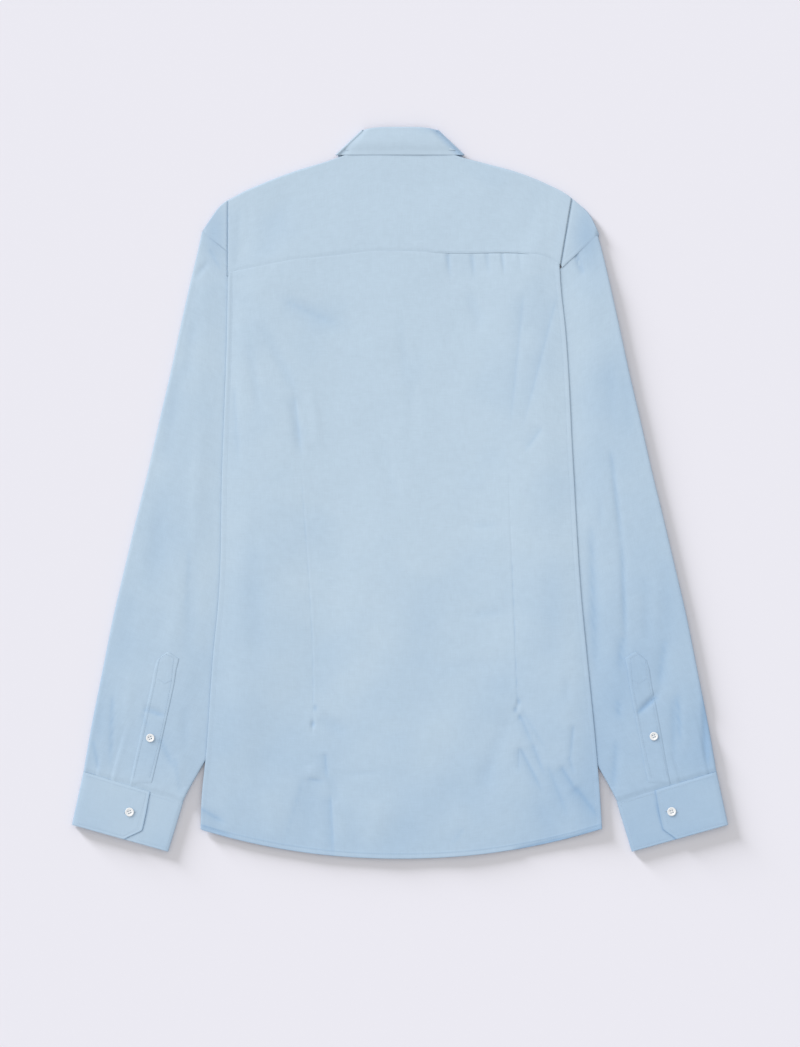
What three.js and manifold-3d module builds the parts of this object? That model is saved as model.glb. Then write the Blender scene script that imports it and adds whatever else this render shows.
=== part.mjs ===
// A long sleeve dress shirt, laid flat with its back up and its sleeves beside the body.
// Millimetres. +X is the right of the view from above, +Y is towards the collar, +Z is up.
// The origin is on the surface that the shirt lies on, below the middle of its outline.

import * as THREE from 'three';
import { mergeVertices } from 'three/addons/utils/BufferGeometryUtils.js';
import Module from 'manifold-3d';

// Driving sizes
const CLOTH = 1.2; // thickness of a cloth wall
const STIFF_CLOTH = 1.6; // cuffs are two cloths with a stiffener
const SEAM = 0.3; // space between pieces that are sewn together
const ON_FLOOR = CLOTH / 2; // middle of a cloth that lies on the floor
const SLEEVE_PRESSED = 3.0; // height of a sleeve where the body lies on it
const SLEEVE_EDGE_LEVEL = 3.8; // middle of its upper cloth where the outer edge turns down
const SLEEVE_CROWN = 4.9; // and at its highest
const SLEEVE_HEAD = 3.7; // and beside the armhole
const BODY_LOFT = 4.0; // from the middle of the front cloth to the middle of the back cloth
const EDGE_LOFT = 3.8; // the same at the side edges
const YOKE_FRONT = 36; // depth of the yoke's strips on the front
const FRONT_HEM_RISE = 12; // the front hem ends this much above the back hem
const PLACKET_HALF = 17.5; // half the width of the front placket
const PLACKET_RISE = 2.2; // it lies this high, on its buttons
const BUTTON_SIDE_RISE = 3.9; // and the other front's edge lies this high, on it
const TUCK_RISE = 1.8; // the yoke's edge stands up beside the armhole
const FLAP_LEVEL = 3.7; // middle of the yoke's outer corner, next to the armhole
const COLLAR_LIFT = 1.5; // the neck lies on the collar's points by this much
const NECK_HALF = 61; // half the width of the neck opening
const NECK_BACK = 384; // height of the back neck seam
const NECK_DROP = 92; // how far the front neck seam lies below it
const HIDDEN_SEAM = 1.2; // space at the seams of the hidden front
const YOKE_GAP = 0.75; // the back and the yoke meet on a curve
const EDGE_GAP = 1; // the back and the front meet in the round of the side edge
const STAND_WALL_GAP = 2.9; // from the middle of the stand's front to the middle of its back
const CUFF_BUTTON = 11;
const PLACKET_BUTTON = 9.5;
const FRONT_BUTTON = 11;
const BUTTON_THICK = 2;
const FOUR_HOLES = [[1, 1], [-1, 1], [-1, -1], [1, -1]];
const FRONT_BUTTONS = 6;
const FRONT_BUTTON_PITCH = 88;
const TOP_BUTTON_Y = 240;
const STAND_BUTTON_Y = 304;

// Half widths of the body at each height
const BODY_EDGE = [
  { y: -376, left: 223, right: 226 },
  { y: -343, left: 222, right: 224 },
  { y: -293, left: 217, right: 220 },
  { y: -181, left: 209, right: 209 },
  { y: -119, left: 203, right: 203 },
  { y: 26, left: 199, right: 194 },
  { y: 183, left: 193.5, right: 185 },
  { y: 243, left: 192.5, right: 179 },
  { y: 256, left: 192, right: 178.5 },
  { y: 290, left: 192, right: 185 },
  { y: 331, left: 192, right: 191 },
];

// The yoke's seam on the back
const YOKE_SEAM = [
  { x: -193, y: 243 },
  { x: -155, y: 251 },
  { x: -114, y: 259 },
  { x: -32, y: 268.5 },
  { x: 71, y: 268.5 },
  { x: 144, y: 267.5 },
  { x: 162, y: 264 },
  { x: 179, y: 256 },
];

// The fold that runs over the shoulders
const SHOULDER = [
  { x: -221, y: 294 },
  { x: -213, y: 306 },
  { x: -203, y: 320 },
  { x: -184, y: 333 },
  { x: -155, y: 346.5 },
  { x: -120, y: 360 },
  { x: -78, y: 373 },
  { x: -64, y: 378 },
  { x: -40, y: 388 },
  { x: 40, y: 388 },
  { x: 64, y: 378 },
  { x: 97, y: 369 },
  { x: 130, y: 360 },
  { x: 163, y: 347 },
  { x: 189, y: 333 },
  { x: 200, y: 324 },
  { x: 213, y: 311 },
  { x: 223, y: 290 },
];

// The armhole seam beside the yoke's outer corner, from its inner end to the shoulder
const ARMHOLE = {
  left: { innerX: 192.6, innerY: 270, outerX: 221, outerY: 292, hiddenY: 221 },
  right: { innerX: 179, innerY: 250, outerX: 220.6, outerY: 288.4, hiddenY: 205 },
};
const ARMHOLE_HIDDEN_X = 130;

// Sections across a flattened sleeve, from the cuff up: where the outer and inner edges lie
const SLEEVE_SECTIONS = [
  { outerX: 354, outerY: -311, innerX: 243, innerY: -344.5 },
  { outerX: 350.5, outerY: -290, innerX: 233, innerY: -325 },
  { outerX: 344, outerY: -254, innerX: 216, innerY: -296 },
  { outerX: 334, outerY: -204, innerX: 190, innerY: -254 },
  { outerX: 321, outerY: -139, innerX: 167, innerY: -205 },
  { outerX: 308, outerY: -83, innerX: 152, innerY: -147 },
  { outerX: 295, outerY: -28, innerX: 141, innerY: -90 },
  { outerX: 282, outerY: 25, innerX: 134, innerY: -35 },
  { outerX: 270, outerY: 78, innerX: 129, innerY: 20 },
  { outerX: 257, outerY: 134, innerX: 125, innerY: 72 },
  { outerX: 246, outerY: 185, innerX: 123, innerY: 120 },
  { outerX: 236, outerY: 230, innerX: 124, innerY: 160 },
  { outerX: 227, outerY: 268, innerX: 127, innerY: 190 },
];

// Each cuff's corners, and how far round the visible face its overlap reaches
const CUFF_CORNERS = {
  topOuter: [354, -311.6],
  bottomOuter: [367, -371],
  topInner: [243, -345.1],
  bottomInner: [260, -401],
};
const CUFF_OVERLAP = { left: 0.665, right: 0.615 };
const CUFF_CUT_CORNER = 0.54; // where the cut corner meets the lower edge
const CUFF_CUT_HEIGHT = 0.26; // how far up the cut corner starts
const UNDER_CUFF_REACH = 0.2; // how far the under end runs below the overlap
const UNDER_CUFF_LEVEL = 3.4; // middle of the under end
const OVER_CUFF_LEVEL = 5.3; // middle of the overlap
const PLACKET_LIFT = CLOTH + SEAM + 0.2; // from the middle of a sleeve's cloth to its placket's

// Where the sleeves' buttons lie
const CUFF_BUTTON_PLACE = { left: [302.7, -356.5], right: [304, -356] };
const PLACKET_BUTTON_PLACE = { left: [279.5, -273.5], right: [284, -271.6] };

// The pointed placket on each sleeve, from its tip to the cuff: both edges
const SLEEVE_PLACKET = [
  { leftX: 262, leftY: -177.5, rightX: 260, rightY: -177.5 },
  { leftX: 274, leftY: -187, rightX: 249, rightY: -185 },
  { leftX: 278, leftY: -212, rightX: 252.7, rightY: -212 },
  { leftX: 285.6, leftY: -246, rightX: 260, rightY: -246 },
  { leftX: 293, leftY: -279.5, rightX: 267.5, rightY: -279.5 },
  { leftX: 304, leftY: -324.3, rightX: 279.6, rightY: -331 },
];
const PLACKET_SHIFT = { left: 0, right: 4 }; // the right sleeve's placket lies a little further out

// Soft folds of the back: each is a ridge or a trough between two points
const BACK_FOLDS = [
  { fromX: -112, fromY: 48, toX: -98, toY: -262, width: 7, rise: -1.0 },
  { fromX: -96, fromY: -262, toX: -76, toY: -398, width: 9, rise: -1.1 },
  { fromX: -124, fromY: -330, toX: -82, toY: -318, width: 12, rise: -0.8 },
  { fromX: 120, fromY: 20, toX: 132, toY: -245, width: 7, rise: -1.0 },
  { fromX: 132, fromY: -245, toX: 168, toY: -336, width: 9, rise: -1.1 },
  { fromX: 128, fromY: -250, toX: 96, toY: -318, width: 14, rise: -1.0 },
  { fromX: 186, fromY: -330, toX: 218, toY: -372, width: 10, rise: -1.0 },
  { fromX: -140, fromY: 222, toX: -68, toY: 188, width: 13, rise: -1.0 },
  { fromX: -176, fromY: 165, toX: -168, toY: 80, width: 14, rise: -0.9 },
  { fromX: -96, fromY: 104, toX: -112, toY: 26, width: 12, rise: 0.9 },
  { fromX: 170, fromY: 194, toX: 134, toY: 70, width: 13, rise: -1.0 },
  { fromX: 6, fromY: 190, toX: 10, toY: 84, width: 16, rise: -0.9 },
  { fromX: 20, fromY: 80, toX: -22, toY: -4, width: 14, rise: -0.8 },
  { fromX: 60, fromY: -38, toX: 118, toY: -36, width: 12, rise: -0.8 },
  { fromX: 56, fromY: -136, toX: 118, toY: -138, width: 12, rise: -0.8 },
  { fromX: -40, fromY: -60, toX: -52, toY: -230, width: 22, rise: 0.8 },
];

// Soft folds of a sleeve's upper cloth, in distances from the middle of the shirt
const SLEEVE_FOLDS = [
  { fromX: 214, fromY: -40, toX: 216, toY: -190, width: 9, rise: -1.1 },
  { fromX: 244, fromY: 44, toX: 252, toY: -150, width: 12, rise: -0.9 },
  { fromX: 274, fromY: -96, toX: 284, toY: -156, width: 13, rise: -0.8 },
  { fromX: 318, fromY: -210, toX: 322, toY: -300, width: 9, rise: -1.0 },
  { fromX: 262, fromY: -290, toX: 252, toY: -326, width: 9, rise: 0.8 },
  { fromX: 226, fromY: 190, toX: 238, toY: 90, width: 12, rise: -0.8 },
];

// Colours
const CLOTH_COLOUR = 0xb9cde0;
const BUTTON_COLOUR = 0xf2f3f5;

const SIDES = [
  { name: 'left', sign: -1 },
  { name: 'right', sign: 1 },
];

const { lerp, clamp, smoothstep } = THREE.MathUtils;

// The value of a table's column at a place, on a smooth curve through its rows
function readTable(table, key, column, place) {
  const last = table.length - 1;
  let row = 0;
  while (row < last - 1 && place > table[row + 1][key]) row += 1;
  const slope = (a, b) => (table[b][column] - table[a][column]) / (table[b][key] - table[a][key]);
  const span = table[row + 1][key] - table[row][key];
  const t = clamp((place - table[row][key]) / span, 0, 1);
  const slopeHere = slope(Math.max(row - 1, 0), row + 1);
  const slopeNext = slope(row, Math.min(row + 2, last));
  const t2 = t * t;
  const t3 = t2 * t;
  return (2 * t3 - 3 * t2 + 1) * table[row][column]
    + (t3 - 2 * t2 + t) * span * slopeHere
    + (3 * t2 - 2 * t3) * table[row + 1][column]
    + (t3 - t2) * span * slopeNext;
}

// Height that a table of folds adds at a point
function foldHeight(folds, x, y) {
  let height = 0;
  for (const fold of folds) {
    const alongX = fold.toX - fold.fromX;
    const alongY = fold.toY - fold.fromY;
    const length = Math.hypot(alongX, alongY);
    const offX = x - fold.fromX;
    const offY = y - fold.fromY;
    const along = (offX * alongX + offY * alongY) / length;
    const across = (offX * alongY - offY * alongX) / length;
    const past = Math.max(0, -along, along - length);
    height += fold.rise * Math.exp(-((across / fold.width) ** 2) - (past / (1.6 * fold.width)) ** 2);
  }
  return height;
}

// A closed cloth wall round a grid of points in the middle of the cloth.
// Rows follow one another upwards, and each row runs so that its outer side faces out.
function clothWall(rows, { thickness = CLOTH, ring = false } = {}) {
  const lines = rows.length;
  const width = rows[0].length;
  const before = (i) => (ring ? (i + width - 1) % width : Math.max(i - 1, 0));
  const after = (i) => (ring ? (i + 1) % width : Math.min(i + 1, width - 1));
  const positions = [];
  for (const side of [0.5, -0.5]) {
    for (let j = 0; j < lines; j += 1) {
      const below = rows[Math.max(j - 1, 0)];
      const above = rows[Math.min(j + 1, lines - 1)];
      for (let i = 0; i < width; i += 1) {
        const across = new THREE.Vector3().subVectors(rows[j][after(i)], rows[j][before(i)]);
        const up = new THREE.Vector3().subVectors(above[i], below[i]);
        const normal = across.cross(up).normalize();
        const point = rows[j][i].clone().addScaledVector(normal, side * thickness);
        positions.push(point.x, point.y, point.z);
      }
    }
  }
  const outer = (j, i) => j * width + (ring ? i % width : i);
  const inner = (j, i) => lines * width + outer(j, i);
  const index = [];
  const quad = (a, b, c, d) => index.push(a, b, c, a, c, d);
  const steps = ring ? width : width - 1;
  for (let j = 0; j < lines - 1; j += 1) {
    for (let i = 0; i < steps; i += 1) {
      quad(outer(j, i), outer(j, i + 1), outer(j + 1, i + 1), outer(j + 1, i));
      quad(inner(j, i), inner(j + 1, i), inner(j + 1, i + 1), inner(j, i + 1));
    }
  }
  const top = lines - 1;
  for (let i = 0; i < steps; i += 1) {
    quad(outer(0, i + 1), outer(0, i), inner(0, i), inner(0, i + 1));
    quad(outer(top, i), outer(top, i + 1), inner(top, i + 1), inner(top, i));
  }
  for (let j = 0; j < lines - 1 && !ring; j += 1) {
    quad(outer(j, 0), outer(j + 1, 0), inner(j + 1, 0), inner(j, 0));
    quad(outer(j + 1, steps), outer(j, steps), inner(j, steps), inner(j + 1, steps));
  }
  const geometry = new THREE.BufferGeometry();
  geometry.setAttribute('position', new THREE.Float32BufferAttribute(positions, 3));
  geometry.setIndex(index);
  return geometry;
}

// The same grid on the other side of the middle
function mirrored(rows) {
  return rows.map((row) => row.map((p) => new THREE.Vector3(-p.x, p.y, p.z)).reverse());
}

// Evenly spaced numbers from one end to the other
function spread(from, to, count) {
  return Array.from({ length: count }, (unused, i) => lerp(from, to, i / (count - 1)));
}

// Height of the back hem, a shallow curve that rises to the sides
function hemY(x) {
  return -409 + 33 * (Math.abs(x) / 224) ** 2.1;
}

function bodyEdge(side, y) {
  return readTable(BODY_EDGE, 'y', side, clamp(y, -376, 331));
}

// Rows of one sleeve with its armhole end added
function sleeveSections(side) {
  const armhole = ARMHOLE[side];
  const head = {
    outerX: armhole.outerX,
    outerY: armhole.outerY,
    innerX: ARMHOLE_HIDDEN_X,
    innerY: armhole.hiddenY,
  };
  return [...SLEEVE_SECTIONS, head];
}

// How far out the sleeve's inner edge lies at a height
function sleeveInnerEdge(side, y) {
  return readTable(sleeveSections(side), 'innerY', 'innerX', clamp(y, -344.5, ARMHOLE[side].hiddenY));
}

// 1 where a sleeve lies below and 0 clear of it, with a step beside the sleeve and above its end
function overSleeve(x, y, step) {
  const side = x < 0 ? 'left' : 'right';
  const beside = smoothstep(Math.abs(x) - sleeveInnerEdge(side, y), step.foot, step.top);
  return beside * (1 - smoothstep(y, step.headTop, step.headFoot));
}

const FRONT_STEP = { foot: -27, top: -11, headTop: 272, headFoot: 290 };
const BACK_STEP = { foot: -32, top: -2, headTop: 258, headFoot: 318 };

// Middle of the front cloth: on the floor, over the sleeves and over the collar's points
function frontHeight(x, y) {
  const sleeve = (SLEEVE_PRESSED + SEAM) * overSleeve(x, y, FRONT_STEP);
  const nearNeck = smoothstep(y, 225, 250) * (1 - smoothstep(Math.abs(x), 82, 108));
  return ON_FLOOR + Math.max(sleeve, COLLAR_LIFT * nearNeck);
}

// Middle of the back cloth, with its soft folds
function backHeight(x, y) {
  const sleeve = (SLEEVE_PRESSED + SEAM) * overSleeve(x, y, BACK_STEP);
  const middle = 2.9 * Math.exp(-((x / 42) ** 2)) * (1 - smoothstep(y, 300, 350));
  const side = x < 0 ? 'left' : 'right';
  const inside = bodyEdge(side, y) - Math.abs(x);
  const calm = smoothstep(inside, 2, 22);
  const folds = calm * foldHeight(BACK_FOLDS, x, y);
  return ON_FLOOR + lerp(EDGE_LOFT, BODY_LOFT, calm) + sleeve + middle + folds;
}

// A quarter round that closes the side edge of the body between the back and the front
function edgeRound(side, y, upper) {
  const sign = side === 'left' ? -1 : 1;
  const edge = bodyEdge(side, y);
  const high = backHeight(sign * edge, y);
  const low = frontHeight(sign * edge, y);
  const radius = (high - low) / 2;
  const middle = (high + low) / 2;
  return [0, 30, 60].map((degrees) => {
    const angle = THREE.MathUtils.degToRad(degrees);
    const rise = Math.max(radius * Math.sin(angle), EDGE_GAP / 2);
    const x = sign * (edge - radius + radius * Math.cos(angle));
    return new THREE.Vector3(x, y, upper ? middle + rise : middle - rise);
  });
}

// The back panel: from the hem to the yoke seam
function buildBack() {
  const columns = [
    -0.99, -0.95, -0.88, -0.8, -0.72, -0.64, -0.56, -0.5, -0.42, -0.34, -0.24, -0.14, -0.05,
    0.05, 0.14, 0.24, 0.34, 0.44, 0.54, 0.6, 0.66, 0.72, 0.8, 0.88, 0.95, 0.99,
  ];
  const rows = spread(0, 1, 25).map((share) => {
    const place = (column) => {
      const side = column < 0 ? 'left' : 'right';
      const firstY = lerp(-376, YOKE_SEAM.at(column < 0 ? 0 : -1).y, share);
      const x = column * (bodyEdge(side, firstY) - 1.2);
      const seamY = readTable(YOKE_SEAM, 'x', 'y', x) - YOKE_GAP;
      return { x, y: lerp(hemY(x), seamY, share) };
    };
    const points = columns.map((column) => {
      const { x, y } = place(column);
      return new THREE.Vector3(x, y, backHeight(x, y));
    });
    const left = edgeRound('left', place(-1).y, true);
    const right = edgeRound('right', place(1).y, true);
    return [...left, ...points, ...right.reverse()];
  });
  return clothWall(rows);
}

// The front neck seam, a deep curve below the back one
function neckSeamY(x) {
  const inside = Math.max(0, 1 - (x / NECK_HALF) ** 2);
  return NECK_BACK - NECK_DROP * inside ** 1.2;
}

function frontYokeSeamY(x) {
  const reach = Math.max(Math.abs(x), 66) * Math.sign(x || 1);
  return readTable(SHOULDER, 'x', 'y', reach) - YOKE_FRONT;
}

// One front panel: from the side edge to the placket, or over the placket on the right
function buildFront(side) {
  const sign = side === 'left' ? -1 : 1;
  const innerX = side === 'left' ? -PLACKET_HALF - SEAM : -PLACKET_HALF;
  const innerRise = side === 'left' ? PLACKET_RISE : BUTTON_SIDE_RISE;
  const shares = [...spread(0, 0.28, 11), 0.38, 0.5, 0.62, 0.74, 0.84, ...spread(0.89, 1, 6)];
  const rows = shares.map((share) => {
    const edgeY = lerp(-376 + FRONT_HEM_RISE, 296, share);
    const edgeOut = bodyEdge(side, edgeY) - 4;
    const stepOut = Math.min(sleeveInnerEdge(side, edgeY), edgeOut - 10);
    const columns = [
      ...spread(edgeOut, stepOut, 3),
      ...spread(stepOut + FRONT_STEP.top, stepOut + FRONT_STEP.foot, 3),
      ...spread(stepOut + FRONT_STEP.foot, 24, 6).slice(1),
      sign * lerp(sign * 24, innerX, 0.4),
      sign * innerX,
    ];
    const place = (out) => {
      const x = sign * out;
      const topY = Math.min(neckSeamY(x) - 1.5 * HIDDEN_SEAM, frontYokeSeamY(x) - 2.5 * HIDDEN_SEAM);
      return { x, y: lerp(hemY(x) + FRONT_HEM_RISE, topY, share) };
    };
    const points = columns.map((out) => {
      const { x, y } = place(out);
      const atMiddle = 1 - smoothstep(sign * x, PLACKET_HALF + 2, PLACKET_HALF + 28);
      return new THREE.Vector3(x, y, Math.max(frontHeight(x, y), ON_FLOOR + innerRise * atMiddle));
    });
    const row = [...edgeRound(side, place(edgeOut).y, false), ...points];
    return side === 'left' ? row : row.reverse();
  });
  return clothWall(rows);
}

// The placket strip of the left front, which lies on its buttons
function buildFrontPlacket() {
  const rows = spread(0, 1, 16).map((share) => spread(-PLACKET_HALF, PLACKET_HALF, 3).map((x) => {
    const y = lerp(hemY(x) + FRONT_HEM_RISE, neckSeamY(x) - 2 * HIDDEN_SEAM, share);
    return new THREE.Vector3(x, y, ON_FLOOR + PLACKET_RISE);
  }));
  return clothWall(rows);
}

function armholeY(side, x) {
  const { innerX, innerY, outerX, outerY } = ARMHOLE[side];
  return innerY + ((outerY - innerY) * (Math.abs(x) - innerX)) / (outerX - innerX);
}

// The yoke's columns: where each starts at the seam, where it crosses the shoulder, and its level
const YOKE_COLUMNS = [
  { seamX: -217, foldX: -217, flap: true },
  { seamX: -208, foldX: -208, flap: true },
  { seamX: -197, foldX: -196, flap: true },
  { seamX: -193, foldX: -193, flap: false },
  { seamX: -180, foldX: -180, flap: false },
  { seamX: -160, foldX: -160, flap: false },
  { seamX: -135, foldX: -135, flap: false },
  { seamX: -110, foldX: -110, flap: false },
  { seamX: -88, foldX: -88, flap: false },
  { seamX: -70, foldX: -70, flap: false },
  { seamX: -50, foldX: -50, flap: false },
  { seamX: -25, foldX: -25, flap: false },
  { seamX: 0, foldX: 0, flap: false },
  { seamX: 25, foldX: 25, flap: false },
  { seamX: 50, foldX: 50, flap: false },
  { seamX: 70, foldX: 70, flap: false },
  { seamX: 88, foldX: 88, flap: false },
  { seamX: 110, foldX: 110, flap: false },
  { seamX: 130, foldX: 135, flap: false },
  { seamX: 150, foldX: 160, flap: false },
  { seamX: 168, foldX: 180, flap: false },
  { seamX: 179, foldX: 191, flap: false },
  { seamX: 183.5, foldX: 194.5, flap: true },
  { seamX: 200, foldX: 205, flap: true },
  { seamX: 217, foldX: 216, flap: true },
];

function yokeHeight(column, x, y) {
  if (column.flap) return FLAP_LEVEL;
  const side = x < 0 ? 'left' : 'right';
  const inside = bodyEdge(side, y) - Math.abs(x);
  return backHeight(x, y) + TUCK_RISE * Math.exp(-((inside / 24) ** 2)) * smoothstep(y, 262, 292);
}

// One line of the yoke: up the back, over the shoulder and down the front
function yokeLine(column) {
  const side = column.seamX < 0 ? 'left' : 'right';
  const seam = column.flap
    ? armholeY(side, column.seamX) + 1.8
    : readTable(YOKE_SEAM, 'x', 'y', column.seamX);
  const fold = readTable(SHOULDER, 'x', 'y', column.foldX);
  const low = frontHeight(column.foldX, fold);
  const radius = (yokeHeight(column, column.foldX, fold) - low) / 2;
  const points = [0, 0.2, 0.4, 0.6, 0.8, 1].map((share) => {
    const x = lerp(column.seamX, column.foldX, share);
    const y = lerp(seam, fold - radius, share);
    return new THREE.Vector3(x, y, yokeHeight(column, x, y));
  });
  const topLevel = points.at(-1).z;
  const roundRadius = (topLevel - low) / 2;
  for (const degrees of [60, 30, 0, -30, -60]) {
    const angle = THREE.MathUtils.degToRad(degrees);
    const y = fold - radius + roundRadius * Math.cos(angle);
    points.push(new THREE.Vector3(column.foldX, y, low + roundRadius + roundRadius * Math.sin(angle)));
  }
  const end = column.flap ? Math.max(fold - YOKE_FRONT, seam + 3) : fold - YOKE_FRONT;
  for (const share of [0, 0.4, 1]) {
    const y = lerp(fold - radius, Math.min(end, fold - radius - 2), share);
    const level = column.flap ? low : frontHeight(column.foldX, y);
    points.push(new THREE.Vector3(column.foldX, y, level));
  }
  return points;
}

// A prism with the outline of the neck opening, between two levels
function neckCutter(outline, bottom, top) {
  const shape = new THREE.Shape(outline.map(([x, y]) => new THREE.Vector2(x, y)));
  const prism = new THREE.ExtrudeGeometry(shape, { depth: top - bottom, bevelEnabled: false });
  return prism.translate(0, 0, bottom);
}

// The yoke with the neck opening cut out of its back and of its front strips
async function buildYoke() {
  const wasm = await Module();
  wasm.setup();
  const toSolid = (geometry) => {
    const bare = geometry.clone();
    bare.deleteAttribute('normal');
    bare.deleteAttribute('uv');
    const merged = mergeVertices(bare);
    const vertProperties = new Float32Array(merged.attributes.position.array);
    const triVerts = new Uint32Array(merged.index.array);
    return new wasm.Manifold(new wasm.Mesh({ numProp: 3, vertProperties, triVerts }));
  };
  const lines = YOKE_COLUMNS.map(yokeLine);
  const rows = lines[0].map((unused, j) => lines.map((line) => line[j]));
  const half = NECK_HALF + 3;
  const backOutline = [[-half, NECK_BACK - SEAM], [half, NECK_BACK - SEAM], [half, 400], [-half, 400]];
  const across = spread(-NECK_HALF, NECK_HALF, 17);
  const frontOutline = across.map((x) => [x * 1.04, neckSeamY(x) - SEAM]);
  const level = ON_FLOOR + COLLAR_LIFT + STAND_WALL_GAP / 2;
  const cut = toSolid(clothWall(rows))
    .subtract(toSolid(neckCutter(backOutline, -2, 30)))
    .subtract(toSolid(neckCutter([...frontOutline, [half, 400], [-half, 400]], -2, level)));
  const mesh = cut.getMesh();
  const geometry = new THREE.BufferGeometry();
  geometry.setAttribute('position', new THREE.Float32BufferAttribute(mesh.vertProperties, 3));
  geometry.setIndex([...mesh.triVerts]);
  return geometry;
}

// Middle of a sleeve's upper cloth: pressed flat below the body, soft beside it
function sleeveHeight(side, out, y) {
  const pressed = SLEEVE_PRESSED - CLOTH / 2;
  const beside = out - bodyEdge(side, y);
  const open = y < -330 ? 1 : smoothstep(beside, 10, 38);
  const nearArmhole = smoothstep(y, 200, 270);
  const crown = lerp(SLEEVE_CROWN, SLEEVE_HEAD, nearArmhole) + foldHeight(SLEEVE_FOLDS, out, y);
  return lerp(pressed, crown, open);
}

// A line across a flattened tube, from its outer edge (share 0) to its inner edge (share 1)
function acrossTube(outer, inner) {
  const width = Math.hypot(outer[0] - inner[0], outer[1] - inner[1]);
  const at = (share, z, offset = 0) => {
    const s = share + offset / width;
    return new THREE.Vector3(-lerp(outer[0], inner[0], s), lerp(outer[1], inner[1], s), z);
  };
  // The round at an edge, between a lower and an upper level
  const edge = (share, low, high, degrees) => degrees.map((degree) => {
    const radius = (high - low) / 2;
    const angle = THREE.MathUtils.degToRad(degree);
    const inset = share === 0 ? radius : -radius;
    return at(share, low + radius + radius * Math.sin(angle), inset + radius * Math.cos(angle));
  });
  return { at, edge };
}

// One sleeve: a tube that lies flat, from the cuff seam to the armhole seam
function buildSleeve(side) {
  const sections = sleeveSections(side).map((section, number) => ({ ...section, number }));
  const lastPlace = sections.length - 1;
  const rows = spread(0, lastPlace, 17).map((place) => {
    const read = (column) => readTable(sections, 'number', column, place);
    const drop = place === lastPlace ? SEAM : 0;
    const outer = [read('outerX'), read('outerY') - drop];
    const inner = [read('innerX'), read('innerY') - drop];
    const line = acrossTube(outer, inner);
    const outerLevel = Math.min(sleeveHeight(side, ...outer), SLEEVE_EDGE_LEVEL);
    const innerLevel = sleeveHeight(side, ...inner);
    const top = [0.03, 0.09, 0.17, 0.26, 0.35, 0.44, 0.53, 0.62, 0.72, 0.83, 0.97].map((share) => {
      const point = line.at(share, 0);
      point.z = lerp(outerLevel, sleeveHeight(side, -point.x, point.y), smoothstep(share, 0, 0.14));
      return point;
    });
    return [
      ...top,
      ...line.edge(1, ON_FLOOR, innerLevel, [45, 0, -45]),
      ...[0.97, 0.7, 0.35, 0.03].map((share) => line.at(share, ON_FLOOR)),
      ...line.edge(0, ON_FLOOR, outerLevel, [225, 180, 135]),
    ];
  });
  return clothWall(side === 'left' ? rows : mirrored(rows), { ring: true });
}

// The pointed placket, which lies on its sleeve
function buildSleevePlacket(side) {
  const shift = PLACKET_SHIFT[side];
  const table = SLEEVE_PLACKET.map((row, number) => ({ ...row, number }));
  const rows = [5, 4.5, 4, 3.5, 3, 2.5, 2, 1.5, 1, 0.5, 0].map((number) => {
    const at = (column) => {
      const near = Math.floor(Math.min(number, table.length - 2));
      return lerp(table[near][column], table[near + 1][column], number - near);
    };
    return spread(0, 1, 4).map((share) => {
      const out = lerp(at('leftX'), at('rightX'), share) + shift * smoothstep(number, 0, 5);
      const y = lerp(at('leftY'), at('rightY'), share);
      return new THREE.Vector3(-out, y, sleeveHeight(side, out, y) + PLACKET_LIFT);
    });
  });
  return clothWall(side === 'left' ? rows : mirrored(rows));
}

// One cuff: a band wrapped round so that its outer end overlaps, with a cut corner
function buildCuff(side) {
  const { topOuter, bottomOuter, topInner, bottomInner } = CUFF_CORNERS;
  const bottomLevel = STIFF_CLOTH / 2;
  const between = (from, to, share) => [lerp(from[0], to[0], share), lerp(from[1], to[1], share)];
  const rows = [0, CUFF_CUT_HEIGHT / 2, CUFF_CUT_HEIGHT, 0.5, 0.75, 1].map((up) => {
    const line = acrossTube(between(bottomOuter, topOuter, up), between(bottomInner, topInner, up));
    const reach = lerp(CUFF_CUT_CORNER, CUFF_OVERLAP[side], clamp(up / CUFF_CUT_HEIGHT, 0, 1));
    const underStart = CUFF_OVERLAP[side] - UNDER_CUFF_REACH;
    return [
      ...spread(underStart, 0.97, 4).map((share) => line.at(share, UNDER_CUFF_LEVEL)),
      ...line.edge(1, bottomLevel, UNDER_CUFF_LEVEL, [45, 0, -45]),
      ...spread(0.97, 0.04, 4).map((share) => line.at(share, bottomLevel)),
      ...line.edge(0, bottomLevel, OVER_CUFF_LEVEL, [225, 180, 135]),
      ...spread(0.04, reach, 6).map((share) => line.at(share, OVER_CUFF_LEVEL)),
    ];
  });
  return clothWall(side === 'left' ? rows : mirrored(rows), { thickness: STIFF_CLOTH });
}

// The collar stand: a flattened ring whose front dips below its back
function buildCollarStand() {
  const frontLevel = ON_FLOOR + COLLAR_LIFT;
  const backLevel = frontLevel + STAND_WALL_GAP;
  const radius = STAND_WALL_GAP / 2;
  const rows = [0, 0.5, 1].map((up) => {
    const half = lerp(NECK_HALF, 40, up);
    const y = (x) => lerp(NECK_BACK, 406.5 - 5 * (x / 45) ** 4, up);
    const sideY = y(half);
    const dip = lerp(NECK_DROP, NECK_DROP - 8, up);
    const back = spread(-half, half, 9).map((x) => new THREE.Vector3(x, y(x), backLevel));
    const round = (sign, degrees) => degrees.map((degree) => {
      const angle = THREE.MathUtils.degToRad(degree);
      const x = sign * (half + radius * Math.cos(angle));
      return new THREE.Vector3(x, sideY, frontLevel + radius + radius * Math.sin(angle));
    });
    const front = spread(half, -half, 13).map((x) => {
      const inside = Math.max(0, 1 - (x / half) ** 2);
      return new THREE.Vector3(x, sideY - dip * inside ** 1.2, frontLevel);
    });
    return [...back, ...round(1, [45, 0, -45]), ...front, ...round(-1, [-45, 0, 45])];
  });
  return clothWall(rows, { ring: true });
}

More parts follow.
